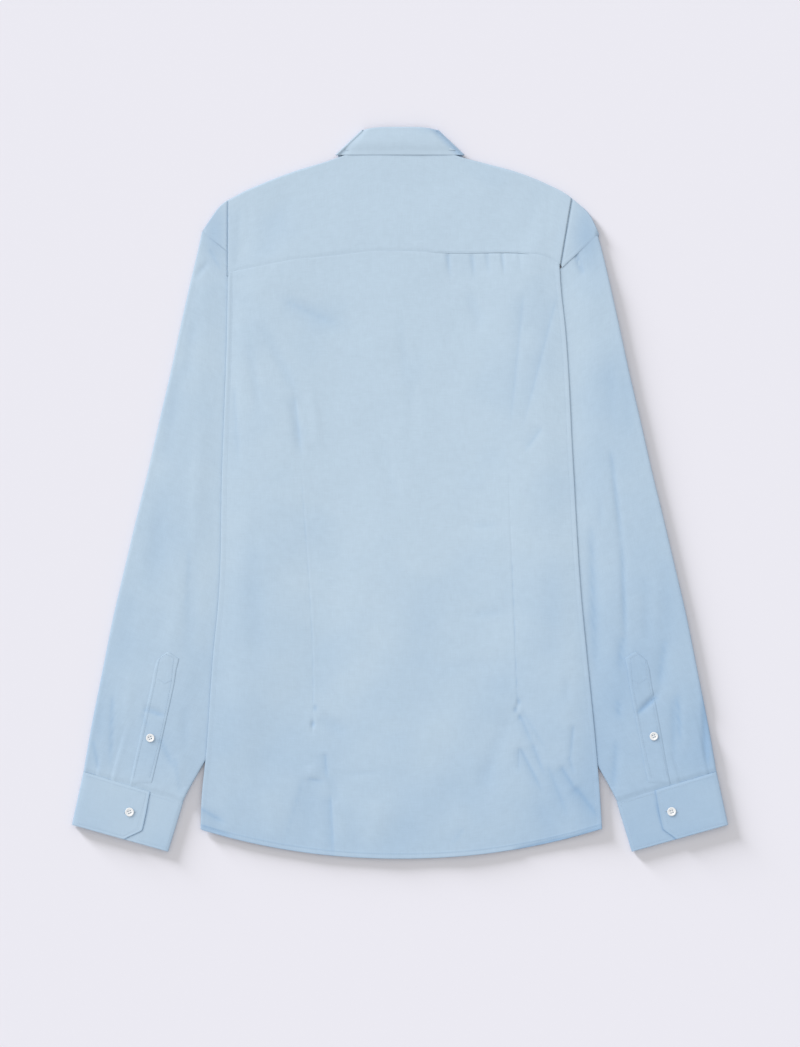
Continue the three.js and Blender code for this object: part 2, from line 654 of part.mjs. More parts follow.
// The collar leaf: it starts at one front edge, goes round the back of the neck and ends at the
// other front edge, and its fold turns in over the stand
function buildCollarLeaf() {
  const frontLevel = ON_FLOOR;
  const backLevel = ON_FLOOR + COLLAR_LIFT + STAND_WALL_GAP + 2.2;
  const radius = (backLevel - frontLevel) / 2;
  const steps = [
    { up: 0, turn: 0 }, { up: 0.25, turn: 0 }, { up: 0.5, turn: 0 }, { up: 0.75, turn: 0 },
    { up: 0.95, turn: 0 }, { up: 1, turn: 0.7 }, { up: 1, turn: 1.7 },
  ];
  const rows = steps.map(({ up, turn }) => {
    const half = lerp(67, 41, up) - turn;
    const topY = (x) => 410 - 5 * (x / 45) ** 4 - 0.25 * turn;
    const backY = (x) => lerp(379, topY(clamp(x, -42, 42)), up);
    const sideY = backY(half);
    const frontSide = (sign) => spread(0, 1, 7).map((share) => {
      const endX = lerp(48, 6, up);
      const drop = lerp(120, NECK_DROP - 7, up) * lerp(share, Math.sin((share * Math.PI) / 2), up);
      const x = sign * lerp(half, endX, share);
      return new THREE.Vector3(x, sideY - drop + 0.5 * turn, frontLevel + 0.1 * turn);
    });
    const round = (sign, degrees) => degrees.map((degree) => {
      const angle = THREE.MathUtils.degToRad(degree);
      const x = sign * (half + (radius - turn / 2) * Math.cos(angle));
      return new THREE.Vector3(x, sideY, frontLevel + radius + (radius - turn) * Math.sin(angle));
    });
    const back = spread(-half, half, 11).map((x) => {
      const crown = 1.2 * (1 - (x / half) ** 2) * Math.sin(Math.PI * clamp(up, 0.05, 0.95));
      return new THREE.Vector3(x, backY(x), backLevel + crown - turn);
    });
    return [
      ...frontSide(-1).reverse(),
      ...round(-1, [-45, 0, 45]),
      ...back,
      ...round(1, [45, 0, -45]),
      ...frontSide(1),
    ];
  });
  return clothWall(rows);
}

// A flat button, with four holes where it shows
function buildButton(diameter, thickness, holes) {
  const shape = new THREE.Shape();
  shape.absarc(0, 0, diameter / 2, 0, 2 * Math.PI, false);
  const holeRadius = diameter * 0.075;
  const holePlace = diameter * 0.13;
  for (const [x, y] of holes) {
    const hole = new THREE.Path();
    hole.absarc(x * holePlace, y * holePlace, holeRadius, 0, 2 * Math.PI, true);
    shape.holes.push(hole);
  }
  return new THREE.ExtrudeGeometry(shape, { depth: thickness, bevelEnabled: false, curveSegments: 6 });
}

function addPiece(group, name, geometry, color, roughness) {
  const material = new THREE.MeshStandardMaterial({ color, roughness, metalness: 0 });
  const mesh = new THREE.Mesh(geometry, material);
  mesh.name = name;
  group.add(mesh);
  return mesh;
}

function addCloth(group, name, geometry) {
  return addPiece(group, name, geometry, CLOTH_COLOUR, 0.75);
}

function addButton(group, name, diameter, x, y, z, holes = FOUR_HOLES) {
  const geometry = buildButton(diameter, BUTTON_THICK, holes);
  const mesh = addPiece(group, name, geometry, BUTTON_COLOUR, 0.3);
  mesh.position.set(x, y, z);
  return mesh;
}

const shirt = new THREE.Group();
addCloth(shirt, 'back', buildBack());
addCloth(shirt, 'yoke', await buildYoke());
addCloth(shirt, 'front_placket', buildFrontPlacket());
addCloth(shirt, 'collar_stand', buildCollarStand());
addCloth(shirt, 'collar_leaf', buildCollarLeaf());

for (const { name, sign } of SIDES) {
  addCloth(shirt, `front_${name}`, buildFront(name));
  addCloth(shirt, `sleeve_${name}`, buildSleeve(name));
  addCloth(shirt, `cuff_${name}`, buildCuff(name));
  addCloth(shirt, `sleeve_placket_${name}`, buildSleevePlacket(name));
  const [cuffX, cuffY] = CUFF_BUTTON_PLACE[name];
  const cuffTop = OVER_CUFF_LEVEL + STIFF_CLOTH / 2 + SEAM;
  addButton(shirt, `cuff_button_${name}`, CUFF_BUTTON, sign * cuffX, cuffY, cuffTop);
  const [placketX, placketY] = PLACKET_BUTTON_PLACE[name];
  const placketTop = sleeveHeight(name, placketX, placketY) + PLACKET_LIFT + CLOTH / 2 + SEAM;
  addButton(shirt, `placket_button_${name}`, PLACKET_BUTTON, sign * placketX, placketY, placketTop);
}

// The front buttons lie below the placket, just clear of the floor, and one lies below the stand
for (let number = 1; number <= FRONT_BUTTONS; number += 1) {
  const y = TOP_BUTTON_Y - (number - 1) * FRONT_BUTTON_PITCH;
  addButton(shirt, `front_button_${number}`, FRONT_BUTTON, 0, y, SEAM, []).scale.z = 0.8;
}
addButton(shirt, 'stand_button', FRONT_BUTTON, 0, STAND_BUTTON_Y, 0.2, []).scale.z = 0.5;

export default shirt;
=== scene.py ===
import math

import bmesh
import bpy
import numpy as np
from mathutils import Matrix, Vector


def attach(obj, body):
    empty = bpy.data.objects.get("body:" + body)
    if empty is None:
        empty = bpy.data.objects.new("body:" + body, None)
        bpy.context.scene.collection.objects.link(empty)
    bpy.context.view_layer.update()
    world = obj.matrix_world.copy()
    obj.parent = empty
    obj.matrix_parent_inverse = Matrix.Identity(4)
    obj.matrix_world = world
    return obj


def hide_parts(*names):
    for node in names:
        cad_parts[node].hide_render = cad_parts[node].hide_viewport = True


bl_info = {
    "name": "Dress shirt, laid flat",
    "version": (1, 0, 0),
    "blender": (4, 5, 0),
    "location": "View3D > Sidebar > Shirt",
    "description": "Builds a long sleeve dress shirt that lies flat with its back up",
    "category": "Add Mesh",
}

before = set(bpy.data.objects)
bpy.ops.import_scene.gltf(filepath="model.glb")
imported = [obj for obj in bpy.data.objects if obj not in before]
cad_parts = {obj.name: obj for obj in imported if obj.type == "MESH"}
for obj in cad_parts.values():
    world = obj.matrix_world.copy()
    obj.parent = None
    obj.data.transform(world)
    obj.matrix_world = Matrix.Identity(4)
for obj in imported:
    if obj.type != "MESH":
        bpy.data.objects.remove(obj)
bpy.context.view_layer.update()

# Sizes are in millimetres until a piece's mesh is made in metres
MM = 0.001
ON_FLOOR = 0.6
SLEEVE_PRESSED = 3.0
CLOTH_THICK = 0.55
STIFF_CLOTH_THICK = 0.9
PLACKET_CLOTH_THICK = 0.6
LAYER_GAP = 0.3
BODY_LOFT = 3.8
EDGE_LOFT = 1.8
HEM_LOFT = 3.0
SLEEVE_CROWN = 5.6
SLEEVE_EDGE = 5.0
YOKE_FRONT = 36
BACK_LENGTH = 677
HEM_MIDDLE_Y = -409
SIDE_HEM_Y = -376
HEM_HALF = 224
FRONT_HEM_RISE = 12
HEM_STITCH_IN = 4.4
SIDE_STITCH_IN = 5.4
YOKE_STITCH_IN = 2.2
PLACKET_HALF = 17.5
COLLAR_LIFT = 1.5
NECK_HALF = 61
NECK_BACK = 384
NECK_DROP = 92
STAND_WALL_GAP = 2.9
LEAF_ABOVE_STAND = 1.5
LEAF_LOW_HALF = 69.6
LEAF_TOP_HALF = 41
LEAF_LOW_Y = 379
LEAF_TOP_Y = 410

# Which way is out from the middle on each side
SIGNS = {"left": -1, "right": 1}

# Distance between the cloth's threads, in metres
THREAD_PITCH = 0.0004

# Half widths of the body at each height: (height, half width)
LEFT_EDGE = [
    (-376, 223), (-343, 222), (-293, 217), (-181, 209), (-119, 203), (26, 199), (183, 193.5),
    (243, 192.5), (290, 192), (331, 192),
]
RIGHT_EDGE = [
    (-376, 226), (-343, 224), (-293, 220), (-181, 209), (-119, 203), (26, 194), (183, 185),
    (243, 179), (256, 178.5), (290, 185), (331, 191),
]

# The yoke's seam on the back: (place across, height)
YOKE_SEAM = [
    (-193, 243), (-155, 251), (-114, 259), (-32, 268.5), (71, 268.5), (144, 267.5), (162, 264), (179, 256),
]

# The fold that runs over the shoulders: (place across, height)
SHOULDER = [
    (-221, 294), (-213, 306), (-203, 320), (-184, 333), (-155, 346.5), (-120, 360), (-78, 373), (-64, 378),
    (-40, 388), (40, 388), (64, 378), (97, 369), (130, 360), (163, 347), (189, 333), (200, 324), (213, 311),
    (223, 290),
]

# The two back darts, from the hem up to the yoke: (height, place across)
LEFT_DART = [(-409, -92), (-262, -98), (-243, -97.5), (48, -112), (150, -118), (270, -122)]
RIGHT_DART = [(-409, 138), (-239, 131.6), (60, 120), (270, 112)]

# The armhole seam beside the yoke's outer corner: (place out from the middle, height)
ARMHOLE = {"left": [(192.6, 270), (221, 292)], "right": [(179, 250), (220.6, 288.4)]}
ARMHOLE_HIDDEN = {"left": (130, 221), "right": (130, 205)}

# Sections across a flattened sleeve, from the cuff up: outer edge, then inner edge
SLEEVE_SECTIONS = [
    (354, -311, 243, -344.5), (350.5, -290, 233, -325), (344, -254, 216, -296), (334, -204, 190, -254),
    (321, -139, 167, -205), (308, -83, 152, -147), (295, -28, 141, -90), (282, 25, 134, -35),
    (270, 78, 129, 20), (257, 134, 125, 72), (246, 185, 123, 120), (236, 230, 124, 160),
    (227, 268, 127, 190),
]

# Cuff corners: (out from the middle, height)
CUFF_TOP_OUTER = (354, -311.6)
CUFF_TOP_INNER = (243, -345.1)
CUFF_BOTTOM_OUTER = (367, -371)
CUFF_BOTTOM_INNER = (260, -401)
CUFF_OVERLAP = {"left": 0.665, "right": 0.615}
CUFF_CUT_CORNER = 0.54
CUFF_CUT_HEIGHT = 0.26
CUFF_WIDTH = 115.0
CUFF_DEPTH = 61.0
CUFF_FLOOR_LEVEL = 0.8
UNDER_CUFF_LEVEL = 4.0
OVER_CUFF_LEVEL = 5.2

# A sleeve placket: (distance from the cuff, below 0, outer edge, its height, inner edge, its height)
PLACKET_ROWS = [
    (-160, 274, -187, 249, -185), (-132, 278, -212, 252.7, -212), (-98, 285.6, -246, 260, -246),
    (-64, 293, -279.5, 267.5, -279.5), (0, 304, -331, 279.6, -331),
]
# How much further out the upper end of a placket lies than in those rows
PLACKET_SHIFT = {"left": 0, "right": 4}
CUFF_BUTTON_PLACE = {"left": (302.7, -356.5), "right": (304, -356)}
PLACKET_BUTTON_PLACE = {"left": (279.5, -273.5), "right": (284, -271.6)}

# Soft folds of the back: (from x, from y, to x, to y, width, rise, lean)
BACK_FOLDS = [
    (-80, -316, -70, -347, 6, -1.0, 0.2), (-101, -304, -96, -320, 6, 0.9, 0.0),
    (-58, -314, -20, -314, 3.5, -0.6, 0.2), (-92, -251, -60, -270, 8, -1.0, 0.2),
    (-100, -318, -104, -402, 13, -1.0, 0.0), (-146, -330, -140, -396, 9, 0.8, 0.0),
    (126, -244, 93, -330, 10, -0.9, -0.2), (104, -296, 92, -332, 10, -0.5, 0.0),
    (110, -330, 120, -396, 14, 0.6, 0.0), (170, -300, 206, -366, 10, 0.9, 0.0),
    (186, -205, 185, -234, 6, -0.7, 0.2), (148, -330, 176, -394, 9, -0.7, 0.0),
    (-152, 230, -50, 178, 10, -0.9, 0.3), (-158, 192, -110, 98, 7, -1.0, 0.3),
    (-170, 170, -158, 84, 6, -0.8, 0.3), (-100, 118, -91, 52, 6, 1.0, 0.0),
    (-123, 110, -111, 40, 5, -1.1, 0.3), (-182, 240, -178, 20, 8, 0.7, 0.0),
    (152, 246, 146, 166, 20, -0.6, 0.0), (76, 228, 90, 178, 9, -1.1, 0.2), (86, 52, 140, 20, 14, -0.5, 0.1),
    (0, 200, 5, 122, 6, -0.7, 0.2), (12, 132, 13, 52, 7, -0.8, 0.2), (-24, 60, -4, -14, 9, -0.8, 0.3),
    (-60, 150, -44, 20, 16, 0.7, 0.0), (74, 160, 60, 30, 18, 0.7, 0.0), (40, 210, 46, 120, 14, 0.6, 0.0),
    (62, -38, 124, -36, 6, -0.4, 0.2), (58, -137, 124, -134, 6, -0.5, 0.2),
    (48, -196, 116, -191, 7, -0.5, 0.1), (-40, -40, -54, -230, 22, 0.9, 0.0),
    (30, -90, 24, -260, 26, -0.8, 0.0), (-170, -40, -160, -200, 12, -0.7, 0.2),
    (-176, -220, -166, -360, 12, 0.8, 0.0), (166, -60, 172, -210, 12, -0.7, 0.2),
    (10, -300, 2, -400, 18, -0.8, 0.0), (62, -330, 70, -404, 10, 0.6, 0.0),
    (-24, -344, -30, -404, 9, 0.7, 0.0), (-60, -352, -46, -404, 8, -0.6, 0.0),
]

# Sharp creases: (from x, from y, to x, to y, width to the left as one goes, width to the right, rise)
BACK_CREASES = [
    (-84, -291, -81, -323, 1.8, 4, -1.0), (-103, -319, -83, -323, 1.8, 3, -0.8),
    (-78, -338, -74.5, -414, 1.8, 8, -1.2), (-109, -319, -130, -394, 9, 2.5, -0.5),
    (135, -249, 150, -286, 3, 4, -1.0), (148, -280, 163, -318, 2.5, 5, -1.1),
    (134, -284, 162, -338, 2, 5, -1.3), (133, -285, 133, -315, 1.6, 3, -0.6),
    (165, -304, 190, -366, 4, 6, -0.8), (136, -242, 167, -292, 3, 4, -0.5),
    (180, -305, 201, -340, 3, 8, -1.4), (196, -328, 225, -366, 4, 9, -1.6),
    (194, -259, 190, -303, 1.8, 3, -1.0), (189, -294, 195, -315, 1.6, 3, -0.8),
    (71, -375, 57, -395, 2, 4, -0.5), (-224, -352, -194, -370, 3, 6, -1.5),
    (-224, -371, -182, -386, 2.5, 4, -1.2), (128, -399, 204, -381, 2, 3, -1.1),
    (186, -388, 226, -373, 2, 4, -1.0), (176, 222, 134, 62, 3, 9, -0.8), (138, 222, 122, 62, 3, 9, -0.7),
    (159, 74, 137, 44, 3, 7, -0.9), (-130, 216, -64, 186, 5, 12, -0.6), (-118, 108, -110, 42, 3, 6, -0.6),
    (-186, 120, -180, 20, 4, 8, -0.6), (84, -37, 116, -36, 2, 4, -0.3), (86, -136, 118, -134, 2, 4, -0.3),
]

# Small knots at the lower ends of the darts: (place across, height, depth)
BACK_KNOTS = [(-95, -240, 0.6), (-97.4, -258, 0.9), (133, -233, 0.9), (129, -242, 0.8), (134, -250, 0.7)]

# Small puckers below the yoke seam, deepest on the right: (place across, depth)
YOKE_PUCKERS = [(53, 1.3), (80, 1.0), (97, 0.7), (114, 1.0), (133, 0.5), (-60, 0.3), (-96, 0.35), (-132, 0.3)]

# Soft folds of the yoke, in the same columns as those of the back
YOKE_FOLDS = [
    (-150, 262, -120, 345, 14, -0.6, 0.2), (-60, 272, -66, 360, 16, 0.5, 0.0),
    (20, 280, 26, 360, 18, -0.5, 0.0), (90, 276, 84, 356, 14, 0.5, 0.0),
    (140, 270, 160, 340, 12, -0.7, 0.3), (-184, 250, -178, 326, 5, -0.6, 0.3),
    (170, 262, 183, 326, 5, -0.6, -0.3), (-30, 290, 60, 300, 14, 0.3, 0.0),
]

# Soft folds of a sleeve's upper cloth, in the same columns, but measured out from the middle
SLEEVE_FOLDS = {
    "left": [
        (244, 150, 262, 30, 10, -1.0, 0.3), (222, 90, 232, -60, 9, 0.8, 0.2),
        (262, 10, 278, -120, 12, -0.9, 0.2), (228, -60, 236, -190, 8, -1.0, 0.2),
        (296, -90, 312, -200, 12, -0.7, 0.2), (252, -120, 262, -190, 9, 0.7, 0.2),
        (252, -292, 246, -330, 6, 1.1, 0.3), (238, -236, 240, -290, 6, -0.9, 0.2),
        (232, 240, 214, 262, 4, -0.9, 0.4), (287, -236, 262, -249, 3.2, -1.1, 0.3),
        (226, 210, 240, 120, 8, -0.8, 0.2), (330, -222, 338, -282, 7, -0.8, 0.2),
        (302, -196, 308, -262, 6, 0.7, 0.2),
    ],
    "right": [
        (235, 50, 250, -84, 3.2, -0.9, 0.3), (249, -66, 252, -196, 3.2, -0.9, 0.3),
        (213, -34, 219, -214, 6, -1.6, 0.4), (254, 134, 256, 62, 8, -0.9, 0.2),
        (224, -4, 224, -38, 3, -0.7, 0.2), (274, -90, 276, -170, 6, -0.8, 0.2),
        (296, -66, 299, -170, 10, -0.9, 0.2), (318, -96, 320, -150, 8, -0.7, 0.2),
        (232, 160, 240, 66, 9, -0.8, 0.2), (262, 120, 276, 10, 12, 0.7, 0.0),
        (206, 244, 194, 276, 3.5, -1.1, 0.5), (297, -160, 288, -226, 7, -0.9, 0.2),
        (244, -160, 249, -202, 4, -1.0, 0.3), (244.6, -228, 244.6, -252, 2.6, -0.7, 0.2),
        (242, -280, 238, -336, 5, -0.8, 0.2), (268, -244, 292, -221, 3.2, -1.7, 0.4),
        (304, -224, 306, -304, 4, -0.5, 0.2), (318, -228, 320, -290, 4, 0.7, 0.0),
        (338, -216, 342, -312, 3.6, -1.2, 0.4), (262, -180, 264, -290, 8, 0.6, 0.0),
        (326, -200, 330, -290, 7, 0.6, 0.0),
    ],
}

# Sharp creases of a sleeve, as those of the back, but measured out from the middle
SLEEVE_CREASES = {
    "left": [
        (288, -242, 260, -250, 2, 3, -1.0), (289, -246, 281, -264, 2, 3, -0.6),
        (322, -226, 324.5, -316, 3, 2, -1.0), (344, -276, 336, -316, 3, 2, -0.9),
        (270, -274, 251, -312, 2, 5, -0.9), (252, -296, 246, -340, 2, 4, -0.7),
        (214, 274, 198, 246, 2, 3, -0.6), (330, -150, 336, -228, 3, 5, -0.5),
        (236, -60, 240, -150, 3, 5, -0.5),
    ],
    "right": [
        (265, -246, 291, -225, 2.2, 3, -1.7), (310.5, -224, 314, -284, 2, 3, -1.0),
        (306, -230, 307, -302, 2, 4, -0.4), (341, -218, 346, -316, 2, 4, -1.4),
        (243.5, -232, 245, -256, 1.6, 3, -0.7), (236, 48, 249, -62, 2, 3, -0.7),
        (248, -56, 252.5, -170, 2, 3, -0.8), (250, -160, 244, -200, 2, 4, -0.7),
        (214, -36, 218, -206, 3, 6, -0.7), (205, 246, 193, 278, 2, 3, -0.8),
        (242, -276, 238, -338, 2, 4, -0.6), (297, -164, 289, -222, 3, 5, -0.6),
    ],
}

TOP_BUTTON_Y = 240
STAND_BUTTON_Y = 304

# Camera: straight above, with the picture's height and centre in metres
CAMERA_AWAY = 6.0
PICTURE_HEIGHT = 1.173
PICTURE_CENTRE_Y = -0.0336

# Light: an even sky, a soft key for the cloth alone, and a low key and a shadowless fill for the floor
SKY_STRENGTH = 0.70
KEY_FROM = 135
FLOOR_LIGHT = (1.0, 1.0, 1.07)
KEYS = [
    {"name": "Cloth key", "strength": 1.62, "softness": 50, "height": 40, "on_floor": False, "shadow": True},
    {"name": "Floor key", "strength": 6.85, "softness": 14, "height": 9, "on_floor": True, "shadow": True},
    {"name": "Floor fill", "strength": 0.03, "softness": 60, "height": 90, "on_floor": True, "shadow": False},
]

# Pleats at a cuff: (share across at the cuff, how far up it runs, depth)
CUFF_PLEATS = {"left": [(0.27, 90, 0.9), (0.115, 34, 0.7)], "right": [(0.36, 56, 0.8), (0.075, 96, 0.8)]}


def smooth(value, start, end):
    """0 before start, 1 after end, and a soft step between them."""
    share = np.clip((value - start) / (end - start), 0, 1)
    return share * share * (3 - 2 * share)


def mix(a, b, share):
    """The value that share of the way from a to b."""
    return a + (b - a) * share


def read_curve(rows, place, column=1):
    """A smooth value between the rows of a table, for a number or an array of places."""
    keys = np.array([row[0] for row in rows], float)
    values = np.array([row[column] for row in rows], float)
    slopes = np.gradient(values, keys)
    place = np.clip(place, keys[0], keys[-1])
    at = np.clip(np.searchsorted(keys, place, side="right") - 1, 0, len(keys) - 2)
    span = keys[at + 1] - keys[at]
    t = (place - keys[at]) / span
    return (
        (2 * t**3 - 3 * t**2 + 1) * values[at]
        + (t**3 - 2 * t**2 + t) * span * slopes[at]
        + (3 * t**2 - 2 * t**3) * values[at + 1]
        + (t**3 - t**2) * span * slopes[at + 1]
    )


def peak(distance, width):
    """1 on a line, fading to 0 on both its sides."""
    return np.exp(-((distance / width) ** 2))


def spot(across, up, width, height):
    """1 at a point, fading to 0 all round it."""
    return np.exp(-((across / width) ** 2) - (up / height) ** 2)


def beside_line(start, end, x, y):
    """Where points lie from a line: the share along it, and the distance to its right as one goes along."""
    length = math.hypot(end[0] - start[0], end[1] - start[1])
    dir_x = (end[0] - start[0]) / length
    dir_y = (end[1] - start[1]) / length
    along = ((x - start[0]) * dir_x + (y - start[1]) * dir_y) / length
    across = (x - start[0]) * dir_y - (y - start[1]) * dir_x
    return along, across


def fold_height(folds, x, y):
    """Height that a table of soft folds adds at each point."""
    total = np.zeros(np.broadcast(x, y).shape)
    for from_x, from_y, to_x, to_y, width, rise, lean in folds:
        along, across = beside_line((from_x, from_y), (to_x, to_y), x, y)
        across = across / width
        fade = np.sin(math.pi * np.clip(along, 0, 1)) ** 0.7
        total += (rise + 1.6 * lean * across) * np.exp(-(across**2)) * fade
    return total


def unevenness(x, y, seed, reach=0.1):
    """The slight waviness of cloth that was pressed and then laid down."""
    rng = np.random.default_rng(seed)
    total = np.zeros(np.broadcast(x, y).shape)
    for _ in range(14):
        angle = rng.uniform(0, math.pi)
        length = rng.uniform(26, 120)
        phase = rng.uniform(0, 2 * math.pi)
        wave = (x * math.cos(angle) + y * math.sin(angle)) * 2 * math.pi / length + phase
        total += reach * (length / 120) * np.sin(wave)
    return total


def groove(distance, width=0.9, depth=0.28):
    """The dent that a row of stitches pulls into the cloth."""
    return -depth * peak(distance, width)


def folded_edge(distance, width, rise=0.3):
    """The extra thickness of a turned edge of that width, with its row of stitches."""
    return rise * (1 - smooth(distance, width, width + 1.2)) + groove(distance - width + 1.6)


def steps(start, end, coarse, fine_spans=()):
    """Places from start to end, a coarse step apart, and finer inside each (low, high, step) span."""
    places = [start]
    while places[-1] < end - 1e-6:
        here = places[-1]
        step = coarse
        for low, high, fine in fine_spans:
            if low - 1e-6 <= here < high - 1e-6:
                step = min(step, fine)
            elif here < low < here + step:
                step = low - here
        places.append(min(here + step, end))
    return np.array(places)


def cloth_piece(name, x, y, z, thickness, ring=False, shade=0.0):
    """A cloth shell through a grid of points in millimetres: rows upwards, columns across."""
    rows, columns = x.shape
    bm = bmesh.new()
    # A point layer that carries painted shade and random tone into the cloth's colour
    shade_layer = bm.verts.layers.float.new("painted_shade_and_mottle")
    bmesh.ops.create_grid(bm, x_segments=columns - 1, y_segments=rows - 1, size=1)
    bm.verts.ensure_lookup_table()
    order = sorted(bm.verts, key=lambda v: (round(v.co.y, 6), round(v.co.x, 6)))
    across = np.concatenate([np.zeros((rows, 1)), np.cumsum(grid_steps(x, y, z, 1), axis=1)], axis=1)
    up = np.concatenate([np.zeros((1, columns)), np.cumsum(grid_steps(x, y, z, 0), axis=0)], axis=0)
    middle = columns // 2
    across = across - across[:, middle : middle + 1]
    uv = bm.loops.layers.uv.new("weave")
    # Painted shade from the piece's own folds, plus the general painted shade and random tone
    tone = 0.55 * (painted_shade_and_mottle(x, y) + shade)
    flat = {}
    for number, vert in enumerate(order):
        row, column = divmod(number, columns)
        vert.co = (x[row, column] * MM, y[row, column] * MM, z[row, column] * MM)
        vert[shade_layer] = tone[row, column]
        flat[vert] = (across[row, column] * MM, up[row, middle] * MM)
    for face in bm.faces:
        face.smooth = True
        for loop in face.loops:
            loop[uv].uv = flat[loop.vert]
    if ring:
        bmesh.ops.remove_doubles(bm, verts=bm.verts, dist=1e-6)
    piece = finish_mesh(name, bm)
    shell = piece.modifiers.new("Cloth thickness", "SOLIDIFY")
    shell.thickness = thickness * MM
    shell.offset = 0
    shell.use_even_offset = False
    return piece


def painted_shade_and_mottle(x, y):
    """Painted shade and random tone: how much deeper the cloth's blue is painted. Painted shade makes it
    deepest on the sleeves, most on the right one, towards the hem, at the hem's lower corners and below the
    shoulder tucks; it is also deeper at the sides and less on the cuffs, and varies in random clouds.
    """
    right = smooth(x, 186, 226)
    left = smooth(-x, 186, 226)
    lower = smooth(-y, -60, 420)
    corners = spot(x - 178, y + 330, 40, 60) + 0.6 * peak(y + 400, 22)
    shoulders = spot(np.abs(x) - 207, y - 292, 16, 34)
    sides = smooth(np.abs(x), 60, 190) * (1 - smooth(y, 180, 300)) - 0.5
    clouds = unevenness(x, y, 5, 0.06) + unevenness(x * 0.5, y * 0.5, 6, 0.05)
    left_cuff = smooth(-x, 230, 250) * smooth(-y, 290, 330)
    right_cuff = smooth(x, 230, 250) * smooth(-y, 290, 330)
    # Painted shade: deeper on the right, towards the hem, at the lower corners and below the shoulder tucks
    painted_shade = 0.6 * lower + right * (0.38 + 0.2 * smooth(-y, 0, 250)) + 0.1 * left
    painted_shade = painted_shade + 0.3 * corners + 0.9 * shoulders
    return painted_shade + 0.14 * sides + 0.6 * clouds - 0.26 * left_cuff - 0.16 * right_cuff


def valley(height, strength=0.2):
    """Painted shade: how much bluer and darker the cloth is painted in its folds, which the sky reaches less.
    """
    return strength * np.clip(-height, -0.3, 1.6)


def grid_steps(x, y, z, axis):
    """Distances between neighbouring points of a grid."""
    return np.sqrt(np.diff(x, axis=axis) ** 2 + np.diff(y, axis=axis) ** 2 + np.diff(z, axis=axis) ** 2)


def table_rows(rows, key, value):
    """Two columns of a table, in the order of the first."""
    return sorted((row[key], row[value]) for row in rows)


INNER_EDGE = {
    side: table_rows(SLEEVE_SECTIONS, 3, 2) + [(hidden_y, hidden_x)]
    for side, (hidden_x, hidden_y) in ARMHOLE_HIDDEN.items()
}


def half_width(x, y):
    """How far out the body's side edge lies at a height."""
    return np.where(x < 0, read_curve(LEFT_EDGE, y), read_curve(RIGHT_EDGE, y))


def sleeve_inner(x, y):
    """How far out the inner edge of the sleeve lies at a height."""
    return np.where(x < 0, read_curve(INNER_EDGE["left"], y), read_curve(INNER_EDGE["right"], y))


def hem_y(x):
    """Height of the back's curved hem at a place across."""
    return HEM_MIDDLE_Y + (SIDE_HEM_Y - HEM_MIDDLE_Y) * (np.abs(x) / HEM_HALF) ** 2.1


def over_sleeve(x, y, foot, top, head_top, head_foot):
    """1 where a sleeve lies below and 0 clear of it."""
    beside = smooth(np.abs(x) - sleeve_inner(x, y), foot, top)
    return beside * (1 - smooth(y, head_top, head_foot))


def front_height(x, y):
    """Middle of the front cloth: on the floor, over the sleeves and over the collar's points."""
    sleeve = (SLEEVE_PRESSED + LAYER_GAP) * over_sleeve(x, y, -27, -11, 272, 290)
    near_neck = smooth(y, 225, 250) * (1 - smooth(np.abs(x), 82, 108))
    return ON_FLOOR + np.maximum(sleeve, COLLAR_LIFT * near_neck)


def dart_height(x, y, dart, low, high, lean):
    """A sewn dart: a fine seam, slightly puckered, with a knot at its lower end."""
    across = x - read_curve(dart, y)
    sewn = smooth(y, low - 4, low + 20) * (1 - smooth(y, high - 90, high))
    pucker = 0.6 + 0.4 * np.sin(y / 2.1 + 1.7 * np.sin(y / 9))
    seam = -0.26 * pucker * peak(across, 0.9)
    side = 0.16 * peak(across - 2.6 * lean, 2.2)
    dip = -0.3 * peak(across, 9)
    knot = -0.8 * spot(across, y - low, 2.4, 6)
    return sewn * (seam + side + dip) + knot


def crease_height(creases, x, y):
    """Sharp creases: each stands or sinks along a line and fades to its two sides."""
    total = np.zeros(np.broadcast(x, y).shape)
    for from_x, from_y, to_x, to_y, left_width, right_width, rise in creases:
        along, across = beside_line((from_x, from_y), (to_x, to_y), x, y)
        width = np.where(across < 0, left_width, right_width)
        fade = smooth(along, -0.06, 0.12) * (1 - smooth(along, 0.55, 1.05))
        total += rise * np.exp(-(np.sqrt((across / width) ** 2 + 0.02))) * fade
    return total


def crease_lines(creases, x, y, width=1.3):
    """Painted shade: the thin dark line painted at the bottom of each sunken crease."""
    total = np.zeros(np.broadcast(x, y).shape)
    for from_x, from_y, to_x, to_y, _, _, rise in creases:
        along, across = beside_line((from_x, from_y), (to_x, to_y), x, y)
        fade = smooth(along, -0.04, 0.1) * (1 - smooth(along, 0.6, 1.02))
        total = np.maximum(total, np.clip(-rise, 0, 1.4) * peak(across, width) * fade)
    return total


def yoke_pucker(x, y):
    """Small folds that hang from the yoke's seam."""
    below_seam = read_curve(YOKE_SEAM, x) - y
    pulled = smooth(below_seam, -1, 3) * (1 - smooth(below_seam, 6, 34))
    return pulled * sum(
        depth * peak(x - place - 0.12 * below_seam, 2.4) for place, depth in YOKE_PUCKERS
    )


def back_level(x, y):
    """Level of the back cloth before its folds and seams."""
    sleeve = (SLEEVE_PRESSED + LAYER_GAP) * over_sleeve(x, y, -80, 22, 225, 325)
    middle = 1.4 * peak(x, 60) * (1 - smooth(y, 300, 350))
    calm = smooth(half_width(x, y) - np.abs(x), 0, 34)
    from_hem = smooth(y - hem_y(x), 0, 60)
    loft = mix(EDGE_LOFT, mix(HEM_LOFT, BODY_LOFT, from_hem), calm)
    return ON_FLOOR + loft + sleeve + middle * from_hem


def back_folds(x, y):
    """The back's soft folds and creases, with the knots that sink into it."""
    knots = sum(depth * spot(x - at_x, y - at_y, 2.6, 3.6) for at_x, at_y, depth in BACK_KNOTS)
    return fold_height(BACK_FOLDS, x, y) + crease_height(BACK_CREASES, x, y) - knots


